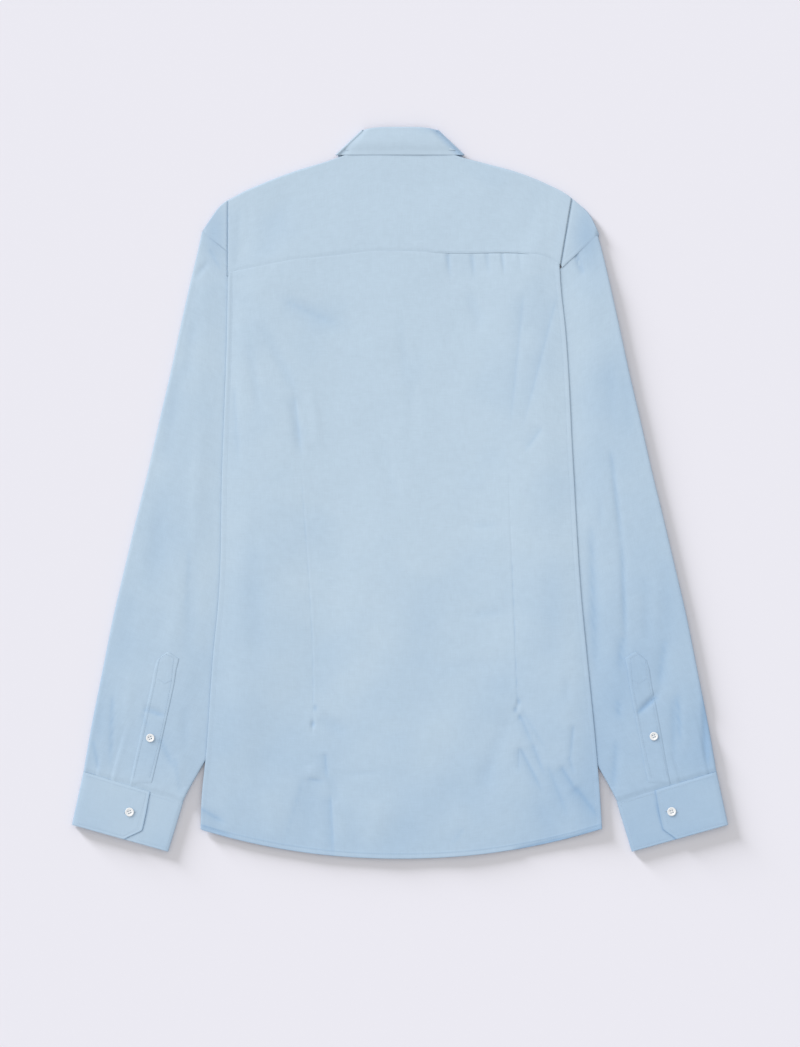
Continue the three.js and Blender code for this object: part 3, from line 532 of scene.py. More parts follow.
def back_shade(x, y):
    """Painted shade: how much bluer and darker the back is painted in its folds, puckers and knots, along its
    darts and at its turned hem.
    """
    shade = valley(fold_height(BACK_FOLDS, x, y)) + valley(crease_height(BACK_CREASES, x, y), 0.45)
    shade += 0.25 * crease_lines(BACK_CREASES, x, y) + 0.5 * yoke_pucker(x, y)
    shade += sum(0.8 * spot(x - at_x, y - at_y, 2.2, 3.2) for at_x, at_y, _ in BACK_KNOTS)
    broken = 0.55 + 0.45 * np.sin(y / 4.3 + 2.2 * np.sin(y / 17))
    left = peak(x - read_curve(LEFT_DART, y), 1.0) * smooth(y, -262, -230) * (1 - smooth(y, 0, 48))
    right = peak(x - read_curve(RIGHT_DART, y), 1.0) * smooth(y, -240, -220) * (1 - smooth(y, -90, -60))
    from_hem = y - hem_y(x)
    # Painted shade along the hem's stitches and edge, and a painted shadow band where the hem turns under
    hem_line = peak(from_hem - 5.6, 0.8) + 0.8 * (1 - smooth(from_hem, 0, 2))
    turned = (1 - smooth(from_hem, 2, 8)) * (0.9 * smooth(x, 110, 150) + 0.6 * smooth(-x, 170, 196))
    return shade + broken * (0.3 * left + 0.5 * right) + 0.3 * hem_line + 0.28 * turned


def back_height(x, y):
    """Middle of the back cloth with its folds, darts and side seams."""
    inside = half_width(x, y) - np.abs(x)
    calm = smooth(inside, 4, 20)
    folds = back_folds(x, y) + unevenness(x, y, 11)
    darts = dart_height(x, y, LEFT_DART, -259, 48, 1) + dart_height(x, y, RIGHT_DART, -239, 60, -1)
    lit = 0.12 + 0.4 * smooth(-x, 150, 170) * smooth(y, 40, 140)
    strip = lit * peak(inside - 2.0, 1.7) + groove(inside - 5.2, 0.8, 0.1)
    return back_level(x, y) + calm * folds + darts + strip - yoke_pucker(x, y)


def rolled_edge(x_edge, y, high, low, angles, sign):
    """Columns that carry a sheet round a side edge, from its upper level towards its lower one."""
    radius = (high - low) / 2
    width = np.minimum(radius, 1.4)
    columns = []
    for degrees in angles:
        turn = math.radians(degrees)
        columns.append((
            sign * (x_edge - width + width * math.cos(turn)),
            y,
            low + radius + radius * math.sin(turn),
        ))
    return columns


def stack(columns):
    """Grids of x, y and z from a list of columns."""
    return [np.stack([np.broadcast_to(column[axis], columns[0][1].shape) for column in columns], axis=1)
            for axis in range(3)]


def side_columns(sign, y_edge, heights):
    """The rolled side edge of the back at each row, from the under side to the top."""
    edge = half_width(np.full(y_edge.shape, sign * 1.0), y_edge)
    high = heights(sign * (edge - 1.6), y_edge)
    low = front_height(sign * edge, y_edge) + 0.45
    return rolled_edge(edge, y_edge, high, low, (-50, -25, 0, 20, 40, 60, 78), sign)


def build_back():
    """The back panel, from one rolled side edge to the other, with its hem turned up."""
    length = BACK_LENGTH
    fine_rows = ((0, 9, 0.9), (9, 172, 2.2), (length - 30, length - 8, 2), (length - 8, length, 1.2))
    share = steps(0, length, 3.8, fine_rows) / length
    y_left = mix(SIDE_HEM_Y, YOKE_SEAM[0][1], share)
    y_right = mix(SIDE_HEM_Y, YOKE_SEAM[-1][1], share)
    y_dart = mix(-403, 268, share)
    anchors = [
        1.9 - read_curve(LEFT_EDGE, y_left), read_curve(LEFT_DART, y_dart),
        read_curve(RIGHT_DART, y_dart), read_curve(RIGHT_EDGE, y_right) - 1.9,
    ]
    spans = [
        (100, 3.0, ((0, 5, 0.8), (96, 100, 0.7))),
        (224, 4.2, ((0, 5, 0.7), (5, 32, 1.8), (162, 219, 2.0), (219, 224, 0.7))),
        (72, 1.5, ((0, 4, 0.7), (67, 72, 0.8))),
    ]
    columns = side_columns(-1, y_left, back_height)
    for number, (width, coarse, fine) in enumerate(spans):
        places = steps(0, width, coarse, fine) / width
        for place in places if number == 2 else places[:-1]:
            x = mix(anchors[number], anchors[number + 1], place)
            seam = np.interp(x, [row[0] for row in YOKE_SEAM], [row[1] for row in YOKE_SEAM]) + 6
            y = mix(hem_y(x), seam, share)
            columns.append((x, y, None))
    columns += side_columns(1, y_right, back_height)[::-1]
    finished = []
    for x, y, z in columns:
        if z is None:
            z = back_height(x, y)
            from_hem = y - hem_y(x)
            hem = folded_edge(from_hem, 6) * smooth(half_width(x, y) - np.abs(x), 0, 6)
            shown = seam_strength(x)
            under_yoke = smooth(share * length, length - mix(2.6, 7, shown), length + mix(0.5, -4, shown))
            z = z + hem - 0.8 * under_yoke
        finished.append((x, y, z))
    x, y, z = stack(finished)
    return cloth_piece("back_panel", x, y, z, CLOTH_THICK, shade=back_shade(x, y))


def armhole_y(side, out):
    """Height of the armhole seam at a distance out from the middle."""
    (inner_x, inner_y), (outer_x, outer_y) = ARMHOLE[side]
    return inner_y + (outer_y - inner_y) * (out - inner_x) / (outer_x - inner_x)


def shoulder_y(x):
    return read_curve(SHOULDER, x)


def yoke_seam_y(x):
    return read_curve(YOKE_SEAM, x)


def flap_level(x, y):
    """Level of the yoke's small outer corners, below the shoulder tucks."""
    return 4.5 - 0.9 * smooth(y, 270, 330) + 0 * x


def yoke_height(x, y):
    """Middle of the yoke's cloth, which lies on the back along their seam."""
    inside = half_width(x, y) - np.abs(x)
    tuck = -0.3 * peak(inside, 14) * smooth(y, 262, 292)
    above_seam = y - yoke_seam_y(x)
    shown = seam_strength(x)
    pucker = 0.5 + 0.5 * np.sin(x / 2.3 + 2 * np.sin(x / 11))
    seam = -mix(0.85, 0.46, shown) * (1 - smooth(above_seam, 0, mix(9, 2.2, shown)))
    seam = seam + groove(above_seam - 2.6, 0.8, 0.12 * pucker * shown)
    folds = fold_height(YOKE_FOLDS, x, y) + unevenness(x, y, 11)
    over_flap = mix(0, flap_level(x, y) + 1.0, smooth(-inside, -110, -4))
    level = np.maximum(back_level(x, y) + 0.4 + tuck, over_flap)
    return level + seam + folds * smooth(inside, 3, 16)


def seam_strength(x):
    """How far the yoke's seam stands up: least at the left, most at the right."""
    return (0.25 * smooth(x, -124, -90) + 0.75 * smooth(x, 0, 66)) * (1 - 0.5 * smooth(x, 138, 156))


# Columns of the yoke at each tuck, from the armhole in: (place at the seam, place at the shoulder, part)
YOKE_TUCKS = {
    "left": [
        (220.6, 220.6, "flap"), (217, 217, "flap"), (213, 213, "flap"), (209, 209, "flap"),
        (205, 205, "flap"), (201.5, 201.5, "flap"), (198.4, 198.4, "flap"), (196, 196, "flap"),
        (194.6, 194.4, "flap"), (193.9, 193.7, "slit"), (193.4, 193.2, "floor"), (191.6, 191.2, "floor"),
        (190.6, 190, "turn"), (191.8, 191.2, "under"), (192.6, 192, "edge"),
    ],
    "right": [
        (220.2, 222.6, "flap"), (216, 218, "flap"), (211, 214, "flap"), (206, 210, "flap"),
        (200, 206, "flap"), (194, 202, "flap"), (188, 198, "flap"), (184, 196, "flap"),
        (181.2, 193.8, "flap"), (180.5, 193.1, "slit"), (180, 192.6, "floor"), (178.4, 191, "floor"),
        (177, 189.6, "turn"), (178.4, 190.8, "under"), (179.2, 191.6, "edge"),
    ],
}
# How far each part of a tuck lies above the flap
TUCK_LEVELS = {"flap": 0, "slit": -0.5, "floor": -0.95, "turn": -0.5, "under": 0.1, "edge": 0.95}


def yoke_line(sign, seam_out, fold_out, part):
    """One line of the yoke: up the back, over the shoulder and down the front."""
    side = "left" if sign < 0 else "right"
    fold = float(shoulder_y(sign * fold_out))
    low = float(front_height(sign * fold_out, fold)) + 0.2
    seam = float(yoke_seam_y(sign * seam_out))
    if part == "flap":
        seam = float(armhole_y(side, seam_out)) + 0.6
    share = np.concatenate([steps(0, 14, 1.1), steps(14, 108, 3.0)[1:], steps(108, 116, 1.4)[1:]]) / 116
    x_top = mix(sign * seam_out, sign * fold_out, share)
    level = float(yoke_height(sign * fold_out, fold)) if part not in TUCK_LEVELS else 4.0
    radius = (level - low) / 2
    y_top = mix(seam, fold - radius, share)
    if part in TUCK_LEVELS:
        z_top = flap_level(x_top, y_top) + TUCK_LEVELS[part]
        if part == "flap":
            z_top = z_top + groove(y_top - seam - 7, 0.8, 0.15) - 0.35 * (1 - smooth(y_top - seam, 0, 3))
    else:
        z_top = yoke_height(x_top, y_top)
    top_level = float(z_top[-1])
    radius = (top_level - low) / 2
    turns = np.radians([75, 55, 35, 15, -5, -25, -45, -65, -85])
    y_round = fold - radius + radius * np.cos(turns)
    z_round = low + radius + radius * np.sin(turns)
    front_share = steps(0, 1, 0.11)[1:]
    reach = YOKE_FRONT
    if part == "flap":
        reach = max(4, min(YOKE_FRONT, fold - seam - 2))
    y_front = mix(fold - radius, fold - reach, front_share)
    z_front = np.maximum(low, front_height(sign * fold_out, y_front) + 0.2) + 0 * y_front
    x_all = np.concatenate([x_top, np.full(len(turns) + len(front_share), sign * fold_out)])
    return x_all, np.concatenate([y_top, y_round, y_front]), np.concatenate([z_top, z_round, z_front])


def build_yoke():
    """The yoke in one sheet, from the left armhole to the right one."""
    left = [yoke_line(-1, *row) for row in YOKE_TUCKS["left"]]
    right = [yoke_line(1, *row) for row in YOKE_TUCKS["right"]][::-1]
    middle = []
    places = steps(-192, 178.5, 2.6, ((-192, -188, 0.8), (174, 178.5, 0.8)))[1:-1]
    for place in places:
        stretch = smooth(place, 90, 178.5)
        fold_out = place + 12.4 * stretch
        sign = -1 if place < 0 else 1
        middle.append(yoke_line(sign, abs(place), abs(fold_out), "main"))
    lines = left + middle + right
    x, y, z = stack(lines)
    # Painted shade in the yoke's folds
    piece = cloth_piece("yoke_cloth", x, y, z, CLOTH_THICK, shade=valley(fold_height(YOKE_FOLDS, x, y)))
    cut_neck(piece)
    return piece


def cut_neck(piece):
    """Opens the neck: the yoke ends at the stand's back seam and leaves the front free."""
    bm = bmesh.new()
    bm.from_mesh(piece.data)
    gone = []
    for face in bm.faces:
        middle = face.calc_center_median() / MM
        inside_front = middle.z < 2.4 and middle.y > neck_seam_y(middle.x) - 1
        behind = middle.y > NECK_BACK + 3
        if abs(middle.x) < NECK_HALF and (behind or inside_front):
            gone.append(face)
    bmesh.ops.delete(bm, geom=gone, context="FACES")
    bm.to_mesh(piece.data)
    bm.free()


def neck_seam_y(x):
    """The front neck seam, a deep curve below the back one."""
    inside = np.maximum(0, 1 - (x / NECK_HALF) ** 2)
    return NECK_BACK - NECK_DROP * inside**1.2


def pleat_height(side, share, from_cuff):
    """Pleats that fold one way at the cuff and fade up the sleeve."""
    total = 0.0
    for place, reach, rise in CUFF_PLEATS[side]:
        fade = 1 - smooth(from_cuff, reach * 0.45, reach)
        across = (share - place) * 112
        line = -0.8 * peak(across, 1.0)
        fold = 0.55 * peak(across - 3.2, 3.2) - 0.3 * peak(across + 4, 4)
        total = total + rise * fade * (line + fold)
    return total


def sleeve_height(side, out, y):
    """Middle of a sleeve's upper cloth: pressed flat below the body, soft beside it."""
    sign = SIGNS[side]
    beside = out - half_width(np.full(np.shape(y), sign * 1.0), y)
    opened = np.where(y < -330, 1.0, mix(0.45 * smooth(beside, -6, 1), 1, smooth(beside, 0, 34)))
    near_armhole = smooth(y, 200, 270)
    soft = fold_height(SLEEVE_FOLDS[side], out, y) + unevenness(out, y, 21 if side == "left" else 22)
    soft = soft + 0.8 * crease_height(SLEEVE_CREASES[side], out, y)
    crown = mix(SLEEVE_CROWN, 4.0, near_armhole) + soft
    return mix(SLEEVE_PRESSED - 0.6, crown, opened)


def sleeve_shade(side, out, y):
    """Painted shade: how much bluer and darker a sleeve is painted in its folds and creases."""
    shade = valley(fold_height(SLEEVE_FOLDS[side], out, y))
    shade = shade + valley(crease_height(SLEEVE_CREASES[side], out, y), 0.3)
    return shade + 0.34 * crease_lines(SLEEVE_CREASES[side], out, y, 2.0)


def sleeve_row_places(side):
    sections = [list(row) for row in SLEEVE_SECTIONS]
    sections.insert(0, [355.4, -317, 245, -350.6])
    (_, _), (outer_x, outer_y) = ARMHOLE[side]
    hidden_x, hidden_y = ARMHOLE_HIDDEN[side]
    sections.append([outer_x + 0.4, outer_y + 1.5, hidden_x, hidden_y + 1.5])
    return [[number, *row] for number, row in enumerate(sections)]


def build_sleeve(side):
    """A flattened sleeve: its upper cloth, its inner edge, its lower cloth and its outer edge."""
    sign = SIGNS[side]
    sections = sleeve_row_places(side)
    last = len(sections) - 1
    place = steps(0, last, 0.062, ((0, 1, 0.15), (1, 1.6, 0.045), (last - 0.25, last, 0.02)))
    outer = [read_curve(sections, place, 1), read_curve(sections, place, 2)]
    inner = [read_curve(sections, place, 3), read_curve(sections, place, 4)]
    width = np.hypot(outer[0] - inner[0], outer[1] - inner[1])
    from_cuff = np.hypot(outer[0] - sections[0][1], outer[1] - sections[0][2])

    def at(share, offset=0.0):
        s = share + offset / width
        return mix(outer[0], inner[0], s), mix(outer[1], inner[1], s)

    def upper(share, offset=0.0):
        out, y = at(share, offset)
        inset = (share * width) + offset
        edge = SLEEVE_EDGE + 0.25 * peak(inset - 2.0, 1.6)
        crown = sleeve_height(side, out, y)
        z = mix(np.minimum(edge, crown), crown, smooth(inset, 2, 26))
        z = z + pleat_height(side, share, from_cuff) * smooth(share, 0.02, 0.08)
        return out, y, z - 1.4 * (1 - smooth(from_cuff, 4, 12))

    columns = []
    top_places = steps(0.022, 0.978, 0.024, ((0.022, 0.13, 0.012), (0.25, 0.42, 0.015)))
    for share in top_places:
        out, y, z = upper(share)
        columns.append((sign * out, y, z))
    _, _, high_inner = upper(0.978)
    _, _, high_outer = upper(0.022)
    low = ON_FLOOR
    for degrees in (65, 40, 15, -10, -35, -60):
        radius = (high_inner - low) / 2
        turn = math.radians(degrees)
        out, y = at(1.0, -radius + radius * math.cos(turn))
        columns.append((sign * out, y, low + radius + radius * math.sin(turn)))
    for share in np.linspace(0.978, 0.022, 16):
        out, y = at(share)
        columns.append((sign * out, y, np.full(y.shape, low)))
    for degrees in (-60, -38, -16, 6, 28, 48, 68):
        radius = (high_outer - low) / 2
        turn = math.radians(degrees)
        out, y = at(0.0, radius - radius * math.cos(turn))
        columns.append((sign * out, y, low + radius + radius * math.sin(turn)))
    columns.append(columns[0])
    x, y, z = stack(columns)
    # Painted shade on the sleeve's upper cloth only
    shade = sleeve_shade(side, np.abs(x), y) * (z > 2.5)
    return cloth_piece(f"sleeve_cloth_{side}", x, y, z, CLOTH_THICK, ring=True, shade=shade)


def build_sleeve_placket(side):
    """The strip with a pointed end that lies on a sleeve above its cuff."""
    sign = SIGNS[side]
    width = 25.6
    along = steps(-160, 0, 2.4, ((-160, -140, 1.0), (-72, -36, 1.2)))
    rows = PLACKET_ROWS
    share = steps(0, 1, 0.085, ((0, 0.12, 0.03), (0.88, 1, 0.03)))
    columns = []
    for s in share:
        out = mix(read_curve(rows, along, 1), read_curve(rows, along, 3), s)
        y = mix(read_curve(rows, along, 2), read_curve(rows, along, 4), s)
        tip = (1 - abs(s - 0.5) * 2) * 9.5 * (1 - smooth(along, -160, -146))
        y = y + tip
        out = out - 1.6 * (1 - smooth(along, -160, -146)) - PLACKET_SHIFT[side] * smooth(along, -160, 0)
        out = out + PLACKET_SHIFT[side]
        inset = np.minimum(np.minimum(s, 1 - s) * width, along + 160)
        z = sleeve_height(side, out, y) + 0.6 + groove(inset - 3.2, 0.7, 0.14) - 1.9 * smooth(along, -12, -2)
        z = z - mix(0.6, 0.25, smooth(s, 0.4, 0.6)) * (1 - smooth(inset, 0, 2.2))
        columns.append((sign * out, y, z))
    x, y, z = stack(columns)
    # Painted shade in the sleeve's folds and creases under the placket
    shade = sleeve_shade(side, np.abs(x), y)
    return cloth_piece(f"sleeve_placket_cloth_{side}", x, y, z, PLACKET_CLOTH_THICK, shade=shade)


def cuff_point(share, up):
    """A place on the flattened cuff: share across from the outer edge, and up from its lower edge."""
    place = []
    for axis in (0, 1):
        bottom = mix(CUFF_BOTTOM_OUTER[axis], CUFF_BOTTOM_INNER[axis], share)
        top = mix(CUFF_TOP_OUTER[axis], CUFF_TOP_INNER[axis], share)
        place.append(mix(bottom, top, up))
    return tuple(place)


def build_cuff(side):
    """A flattened cuff, from the end that lies below round to the end that overlaps it."""
    sign = SIGNS[side]
    at_cut = (CUFF_CUT_HEIGHT - 0.05, CUFF_CUT_HEIGHT + 0.05, 0.02)
    up = steps(0, 1, 0.045, ((0, 0.09, 0.015), at_cut, (0.91, 1, 0.015)))
    width = CUFF_WIDTH
    height = CUFF_DEPTH
    reach = mix(CUFF_CUT_CORNER, CUFF_OVERLAP[side], np.clip(up / CUFF_CUT_HEIGHT, 0, 1))
    reach = reach + 0.028 * (1 - smooth(up, CUFF_CUT_HEIGHT, 1.2)) * smooth(up, 0, CUFF_CUT_HEIGHT)
    under = CUFF_OVERLAP[side] - 0.2
    seam_edges = np.minimum(up, 1 - up) * height
    seam_dip = 0.6 * smooth((up - 1) * height, -3.2, -0.2)
    columns = []

    def add(share, z, offset=0.0):
        out, y = cuff_point(share + offset / width, up)
        columns.append((sign * out, y, z + 0 * up))

    def stitched(inset):
        return groove(inset - 3.4, 0.7, 0.12) + 0.05 * peak(inset - 1.2, 1.3)

    for share in steps(under, 0.965, 0.028, ((under, under + 0.05, 0.009),)):
        inset = np.minimum(seam_edges, (share - under) * width + 0 * up)
        z = UNDER_CUFF_LEVEL + stitched(inset) - seam_dip * 0.3
        add(share, z)
    for degrees in (60, 35, 10, -15, -40, -65):
        turn = math.radians(degrees)
        add(1.0, CUFF_FLOOR_LEVEL + 1.6 + 1.6 * math.sin(turn), -1.6 + 1.6 * math.cos(turn))
    for share in np.linspace(0.965, 0.035, 14):
        add(share, CUFF_FLOOR_LEVEL)
    for degrees in (-60, -38, -16, 6, 28, 50, 72):
        turn = math.radians(degrees)
        add(0.0, CUFF_FLOOR_LEVEL + 2.25 + 2.25 * math.sin(turn), 2.25 - 2.25 * math.cos(turn))
    for share in steps(0.035, 1, 0.03, ((0.93, 1, 0.009),)):
        across = mix(0.035, reach, share)
        inset = np.minimum(seam_edges, (reach - across) * width)
        z = OVER_CUFF_LEVEL + stitched(inset) - seam_dip
        add(across, z)
    x, y, z = stack(columns)
    # Painted shadow: a thin dark line along the edge of the overlapping end
    edge_x, edge_y = cuff_point(reach, up)
    from_edge = np.hypot(np.abs(x) - edge_x[:, None], y - edge_y[:, None]) + 30 * (z < 2)
    return cloth_piece(f"cuff_cloth_{side}", x, y, z, STIFF_CLOTH_THICK, shade=0.8 * peak(from_edge, 1.1))


def build_collar_leaf():
    """The collar's leaf, folded down over the stand, with its two fronts below the neck."""
    front_level = ON_FLOOR
    back_level_z = ON_FLOOR + COLLAR_LIFT + STAND_WALL_GAP + LEAF_ABOVE_STAND
    ups = [(0, 0), (0.02, 0), (0.05, 0), (0.09, 0), (0.14, 0), (0.2, 0)]
    ups += [(u, 0) for u in np.linspace(0.27, 0.86, 10)]
    ups += [(0.91, 0), (0.95, 0), (0.98, 0.1), (1, 0.5), (1, 1.0), (1, 1.6), (0.985, 2.3)]
    up = np.array([u for u, _ in ups])
    turn = np.array([t for _, t in ups])
    half = mix(LEAF_LOW_HALF, LEAF_TOP_HALF, up) - 0.4 * turn

    def top_y(x):
        return LEAF_TOP_Y - 5 * (x / 45) ** 4 - 0.25 * turn**1.5

    def back_y(x):
        return mix(LEAF_LOW_Y, top_y(np.clip(x, -42, 42)), up)

    def add_back(x):
        ends = 2.3 * smooth(x / half, 0.7, 1) ** 1.4 + 1.3 * smooth(-x / half, 0.8, 1) ** 1.5
        crown = 1.5 * (1 - (x / half) ** 2) * np.sin(np.pi * np.clip(up, 0.02, 0.9))
        crown = crown - ends * (0.45 + 0.55 * up**0.5)
        from_edge = up * 31
        edge = groove(from_edge - 5.6, 0.8, 0.25) + 0.25 * peak(from_edge - 1.4, 1.5)
        pressed = 1.1 + 0.5 * (x / half) ** 4 + 1.1 * smooth(-x / half, 0.8, 1)
        wave = 0.15 * np.sin(x / 17 + 1.2) * (1 - up) - pressed * (1 - smooth(up, 0, 0.5))
        return x, back_y(x), back_level_z + crown + edge * (turn < 0.05) + wave - 1.15 * turn

    side_y = back_y(half)
    radius = (back_level_z - front_level) / 2
    left, right = [], []
    for share in np.linspace(1, 0, 13):
        end_x = mix(48, 6, up)
        drop = mix(120, NECK_DROP - 7, up) * mix(share, np.sin(share * np.pi / 2), up)
        x = mix(half, end_x, share)
        left.append((-x, side_y - drop + 0.5 * turn, front_level + 0.15 * turn))
        right.append((x, side_y - drop + 0.5 * turn, front_level + 0.15 * turn))
    for degrees in (-60, -35, -10, 15, 40, 65):
        angle = math.radians(degrees)
        x = half + (radius - turn / 2) * math.cos(angle) * 0.8
        z = front_level + radius + (radius - turn * 0.6) * math.sin(angle)
        left.append((-x, side_y, z))
        right.append((x, side_y, z))
    middle = [add_back(half * s) for s in np.linspace(-1, 1, 61)]
    columns = left + middle + right[::-1]
    x, y, z = stack(columns)
    # Painted shade: the leaf's right end and its top right corner are painted darker
    slant = 72 - 0.98 * (y - LEAF_LOW_Y)
    shade = 1.1 * smooth(x - slant, -15, -1) + 0.4 * smooth(y, 398, 410) * smooth(x, 10, 36)
    return cloth_piece("collar_leaf_cloth", x, y, z, STIFF_CLOTH_THICK, shade=shade)


def build_collar_stand():
    """The collar's stand, a flattened ring below the leaf."""
    front_level = ON_FLOOR + COLLAR_LIFT
    up = np.linspace(0, 1, 8)
    half = mix(NECK_HALF, 40, up)

    def y_at(x):
        return mix(NECK_BACK, 405.5 - 5 * (x / 45) ** 4, up)

    side_y = y_at(half)
    dip = mix(NECK_DROP, NECK_DROP - 8, up)
    back_wall = np.full(up.shape, front_level + STAND_WALL_GAP)
    columns = [(half * s, y_at(half * s), back_wall) for s in np.linspace(-1, 1, 25)]
    radius = STAND_WALL_GAP / 2

    def around(sign, turns):
        for degrees in turns:
            angle = math.radians(degrees)
            z = front_level + radius + radius * math.sin(angle)
            columns.append((sign * (half + radius * math.cos(angle)), side_y, np.full(up.shape, z)))

    around(1, (60, 25, -10, -45))
    for s in np.linspace(1, -1, 31):
        inside = max(0.0, 1 - s * s)
        columns.append((half * s, side_y - dip * inside**1.2, np.full(up.shape, front_level)))
    around(-1, (-45, -10, 25, 60))
    columns.append(columns[0])
    return cloth_piece("collar_stand_cloth", *stack(columns), STIFF_CLOTH_THICK, ring=True)


def front_yoke_seam_y(x):
    reach = np.maximum(np.abs(x), 66) * np.where(x < 0, -1, 1)
    return read_curve(SHOULDER, reach) - YOKE_FRONT


def build_front(side):
    """One front of the shirt, from its side seam to the placket."""
    sign = SIGNS[side]
    inner_x = -PLACKET_HALF - LAYER_GAP if side == "left" else -PLACKET_HALF
    rise = 1.4 if side == "left" else 2.9
    share = steps(0, 672, 7, ((0, 8, 1.6), (560, 672, 4))) / 672
    edge_y = mix(SIDE_HEM_Y + FRONT_HEM_RISE, 296, share)
    sided = np.full(edge_y.shape, sign * 1.0)
    edge_out = half_width(sided, edge_y) - 3
    step_out = np.minimum(sleeve_inner(sided, edge_y), edge_out - 10)
    columns = []

    def add(x):
        top = np.minimum(neck_seam_y(x) - 1.5, front_yoke_seam_y(x) + 3)
        y = mix(hem_y(x) + FRONT_HEM_RISE, top, share)
        near_middle = 1 - smooth(sign * x, PLACKET_HALF + 2, PLACKET_HALF + 28)
        z = np.maximum(front_height(x, y), ON_FLOOR + rise * near_middle) - 0.2
        columns.append((x, y, z))

    for degrees in (30, 0, -30, -60):
        low = front_height(sign * edge_out, edge_y)
        turn = math.radians(degrees)
        columns.append((sign * (edge_out + 1.2 * math.cos(turn)), edge_y, low + 0.9 + 1.1 * math.sin(turn)))
    for out in [mix(edge_out, step_out - 11, s) for s in np.linspace(0, 1, 8)]:
        add(sign * out)
    for out in [mix(step_out - 12, step_out - 27, s) for s in np.linspace(0, 1, 5)]:
        add(sign * out)
    for out in [mix(step_out - 30, 24, s) for s in np.linspace(0, 1, 20)]:
        add(sign * out)
    for s in (0.25, 0.5, 0.75, 1):
        add(np.full(share.shape, mix(sign * 24, inner_x, s)))
    return cloth_piece(f"front_cloth_{side}", *stack(columns), CLOTH_THICK)


def build_front_placket():
    """The strip down the middle of the front."""
    share = steps(0, 690, 6, ((0, 8, 1.6),)) / 690
    columns = []
    for x in steps(-PLACKET_HALF, PLACKET_HALF, 2.5, ((-PLACKET_HALF, -10, 1.0), (10, PLACKET_HALF, 1.0))):
        y = mix(hem_y(x) + FRONT_HEM_RISE, neck_seam_y(x) - 2.4, share)
        inset = PLACKET_HALF - abs(x)
        columns.append((np.full(share.shape, x), y, 2.8 - groove(inset - 5) + 0 * share))
    return cloth_piece("front_placket_cloth", *stack(columns), PLACKET_CLOTH_THICK)


def build_button(name, diameter, thickness, place, turned=20, holes=True):
    """A flat button with a raised rim and four holes."""
    radius = diameter / 2
    profile = [
        (0.0, -thickness / 2), (radius * 0.8, -thickness / 2), (radius * 0.97, -thickness * 0.25),
        (radius, 0.05 * thickness), (radius * 0.97, thickness * 0.38), (radius * 0.88, thickness / 2),
        (radius * 0.76, thickness * 0.46), (radius * 0.66, thickness * 0.2),
        (radius * 0.5, thickness * 0.12), (0.0, thickness * 0.1),
    ]
    bm = bmesh.new()
    verts = [bm.verts.new((r * MM, 0, z * MM)) for r, z in profile]
    edges = [bm.edges.new(pair) for pair in zip(verts, verts[1:])]
    bmesh.ops.spin(
        bm, geom=verts + edges, cent=(0, 0, 0), axis=(0, 0, 1), angle=2 * math.pi, steps=40, use_merge=True,
    )
    bmesh.ops.remove_doubles(bm, verts=bm.verts, dist=1e-7)
    bmesh.ops.recalc_face_normals(bm, faces=bm.faces)
    for face in bm.faces:
        face.smooth = True
    button = finish_mesh(name, bm)
    if holes:
        cut_holes(button, diameter)
    button.location = Vector(place) * MM
    button.rotation_euler.z = math.radians(turned)
    bake_place(button)
    return button


def finish_mesh(name, bm):
    """An object of that name, made from a bmesh."""
    mesh = bpy.data.meshes.new(name)
    bm.to_mesh(mesh)
    bm.free()
    piece = bpy.data.objects.new(name, mesh)
    bpy.context.scene.collection.objects.link(piece)
    return piece


def bake_place(piece):
    """Moves the mesh itself, so that the object stays unturned at the origin."""
    piece.data.transform(piece.matrix_basis)
    piece.matrix_basis = Matrix.Identity(4)


def cut_holes(button, diameter):
    """Cuts a button's four holes."""
    bm = bmesh.new()
    for side_x in (-1, 1):
        for side_y in (-1, 1):
            place = Matrix.Translation((side_x * diameter * 0.125 * MM, side_y * diameter * 0.125 * MM, 0))
            bmesh.ops.create_cone(
                bm, cap_ends=True, segments=16, radius1=diameter * 0.068 * MM, radius2=diameter * 0.068 * MM,
                depth=8 * MM, matrix=place,
            )
    cutter = finish_mesh("hole_cutter", bm)
    cut = button.modifiers.new("Holes", "BOOLEAN")
    cut.operation = "DIFFERENCE"
    cut.object = cutter
    graph = bpy.context.evaluated_depsgraph_get()
    mesh = bpy.data.meshes.new_from_object(button.evaluated_get(graph))
    button.modifiers.clear()
    old = button.data
    button.data = mesh
    bpy.data.meshes.remove(old)
    bpy.data.objects.remove(cutter)


def stitches(name, rows, pitch=2.5, length=1.9, width=0.36, lift=0.3):
    """Stitches along rows of points in millimetres, as one mesh."""
    places = [place for row in rows for place in stitch_places(np.array(row, float), pitch, lift)]
    scale = Matrix.Diagonal((length / 2 * MM, width / 2 * MM, width / 2 * MM, 1))
    whole = bmesh.new()
    for start in range(0, len(places), 40):
        some = bmesh.new()
        for place in places[start : start + 40]:
            bmesh.ops.create_uvsphere(some, u_segments=6, v_segments=4, radius=1, matrix=place @ scale)
        mesh = bpy.data.meshes.new("some_stitches")
        some.to_mesh(mesh)
        some.free()
        whole.from_mesh(mesh)
        bpy.data.meshes.remove(mesh)
    for face in whole.faces:
        face.smooth = True
    return finish_mesh(name, whole)


def stitch_places(points, pitch, lift):
    """Where each stitch of a row lies, and how it is turned."""
    spans = np.linalg.norm(np.diff(points, axis=0), axis=1)
    along = np.concatenate([[0], np.cumsum(spans)])

    def at(place):
        return Vector([np.interp(place, along, points[:, axis]) for axis in range(3)])

    for place in np.arange(pitch / 2, along[-1], pitch):
        turn = (at(place + 0.5) - at(place - 0.5)).normalized().to_track_quat("X", "Z").to_matrix().to_4x4()
        yield Matrix.Translation((at(place) + Vector((0, 0, lift))) * MM) @ turn


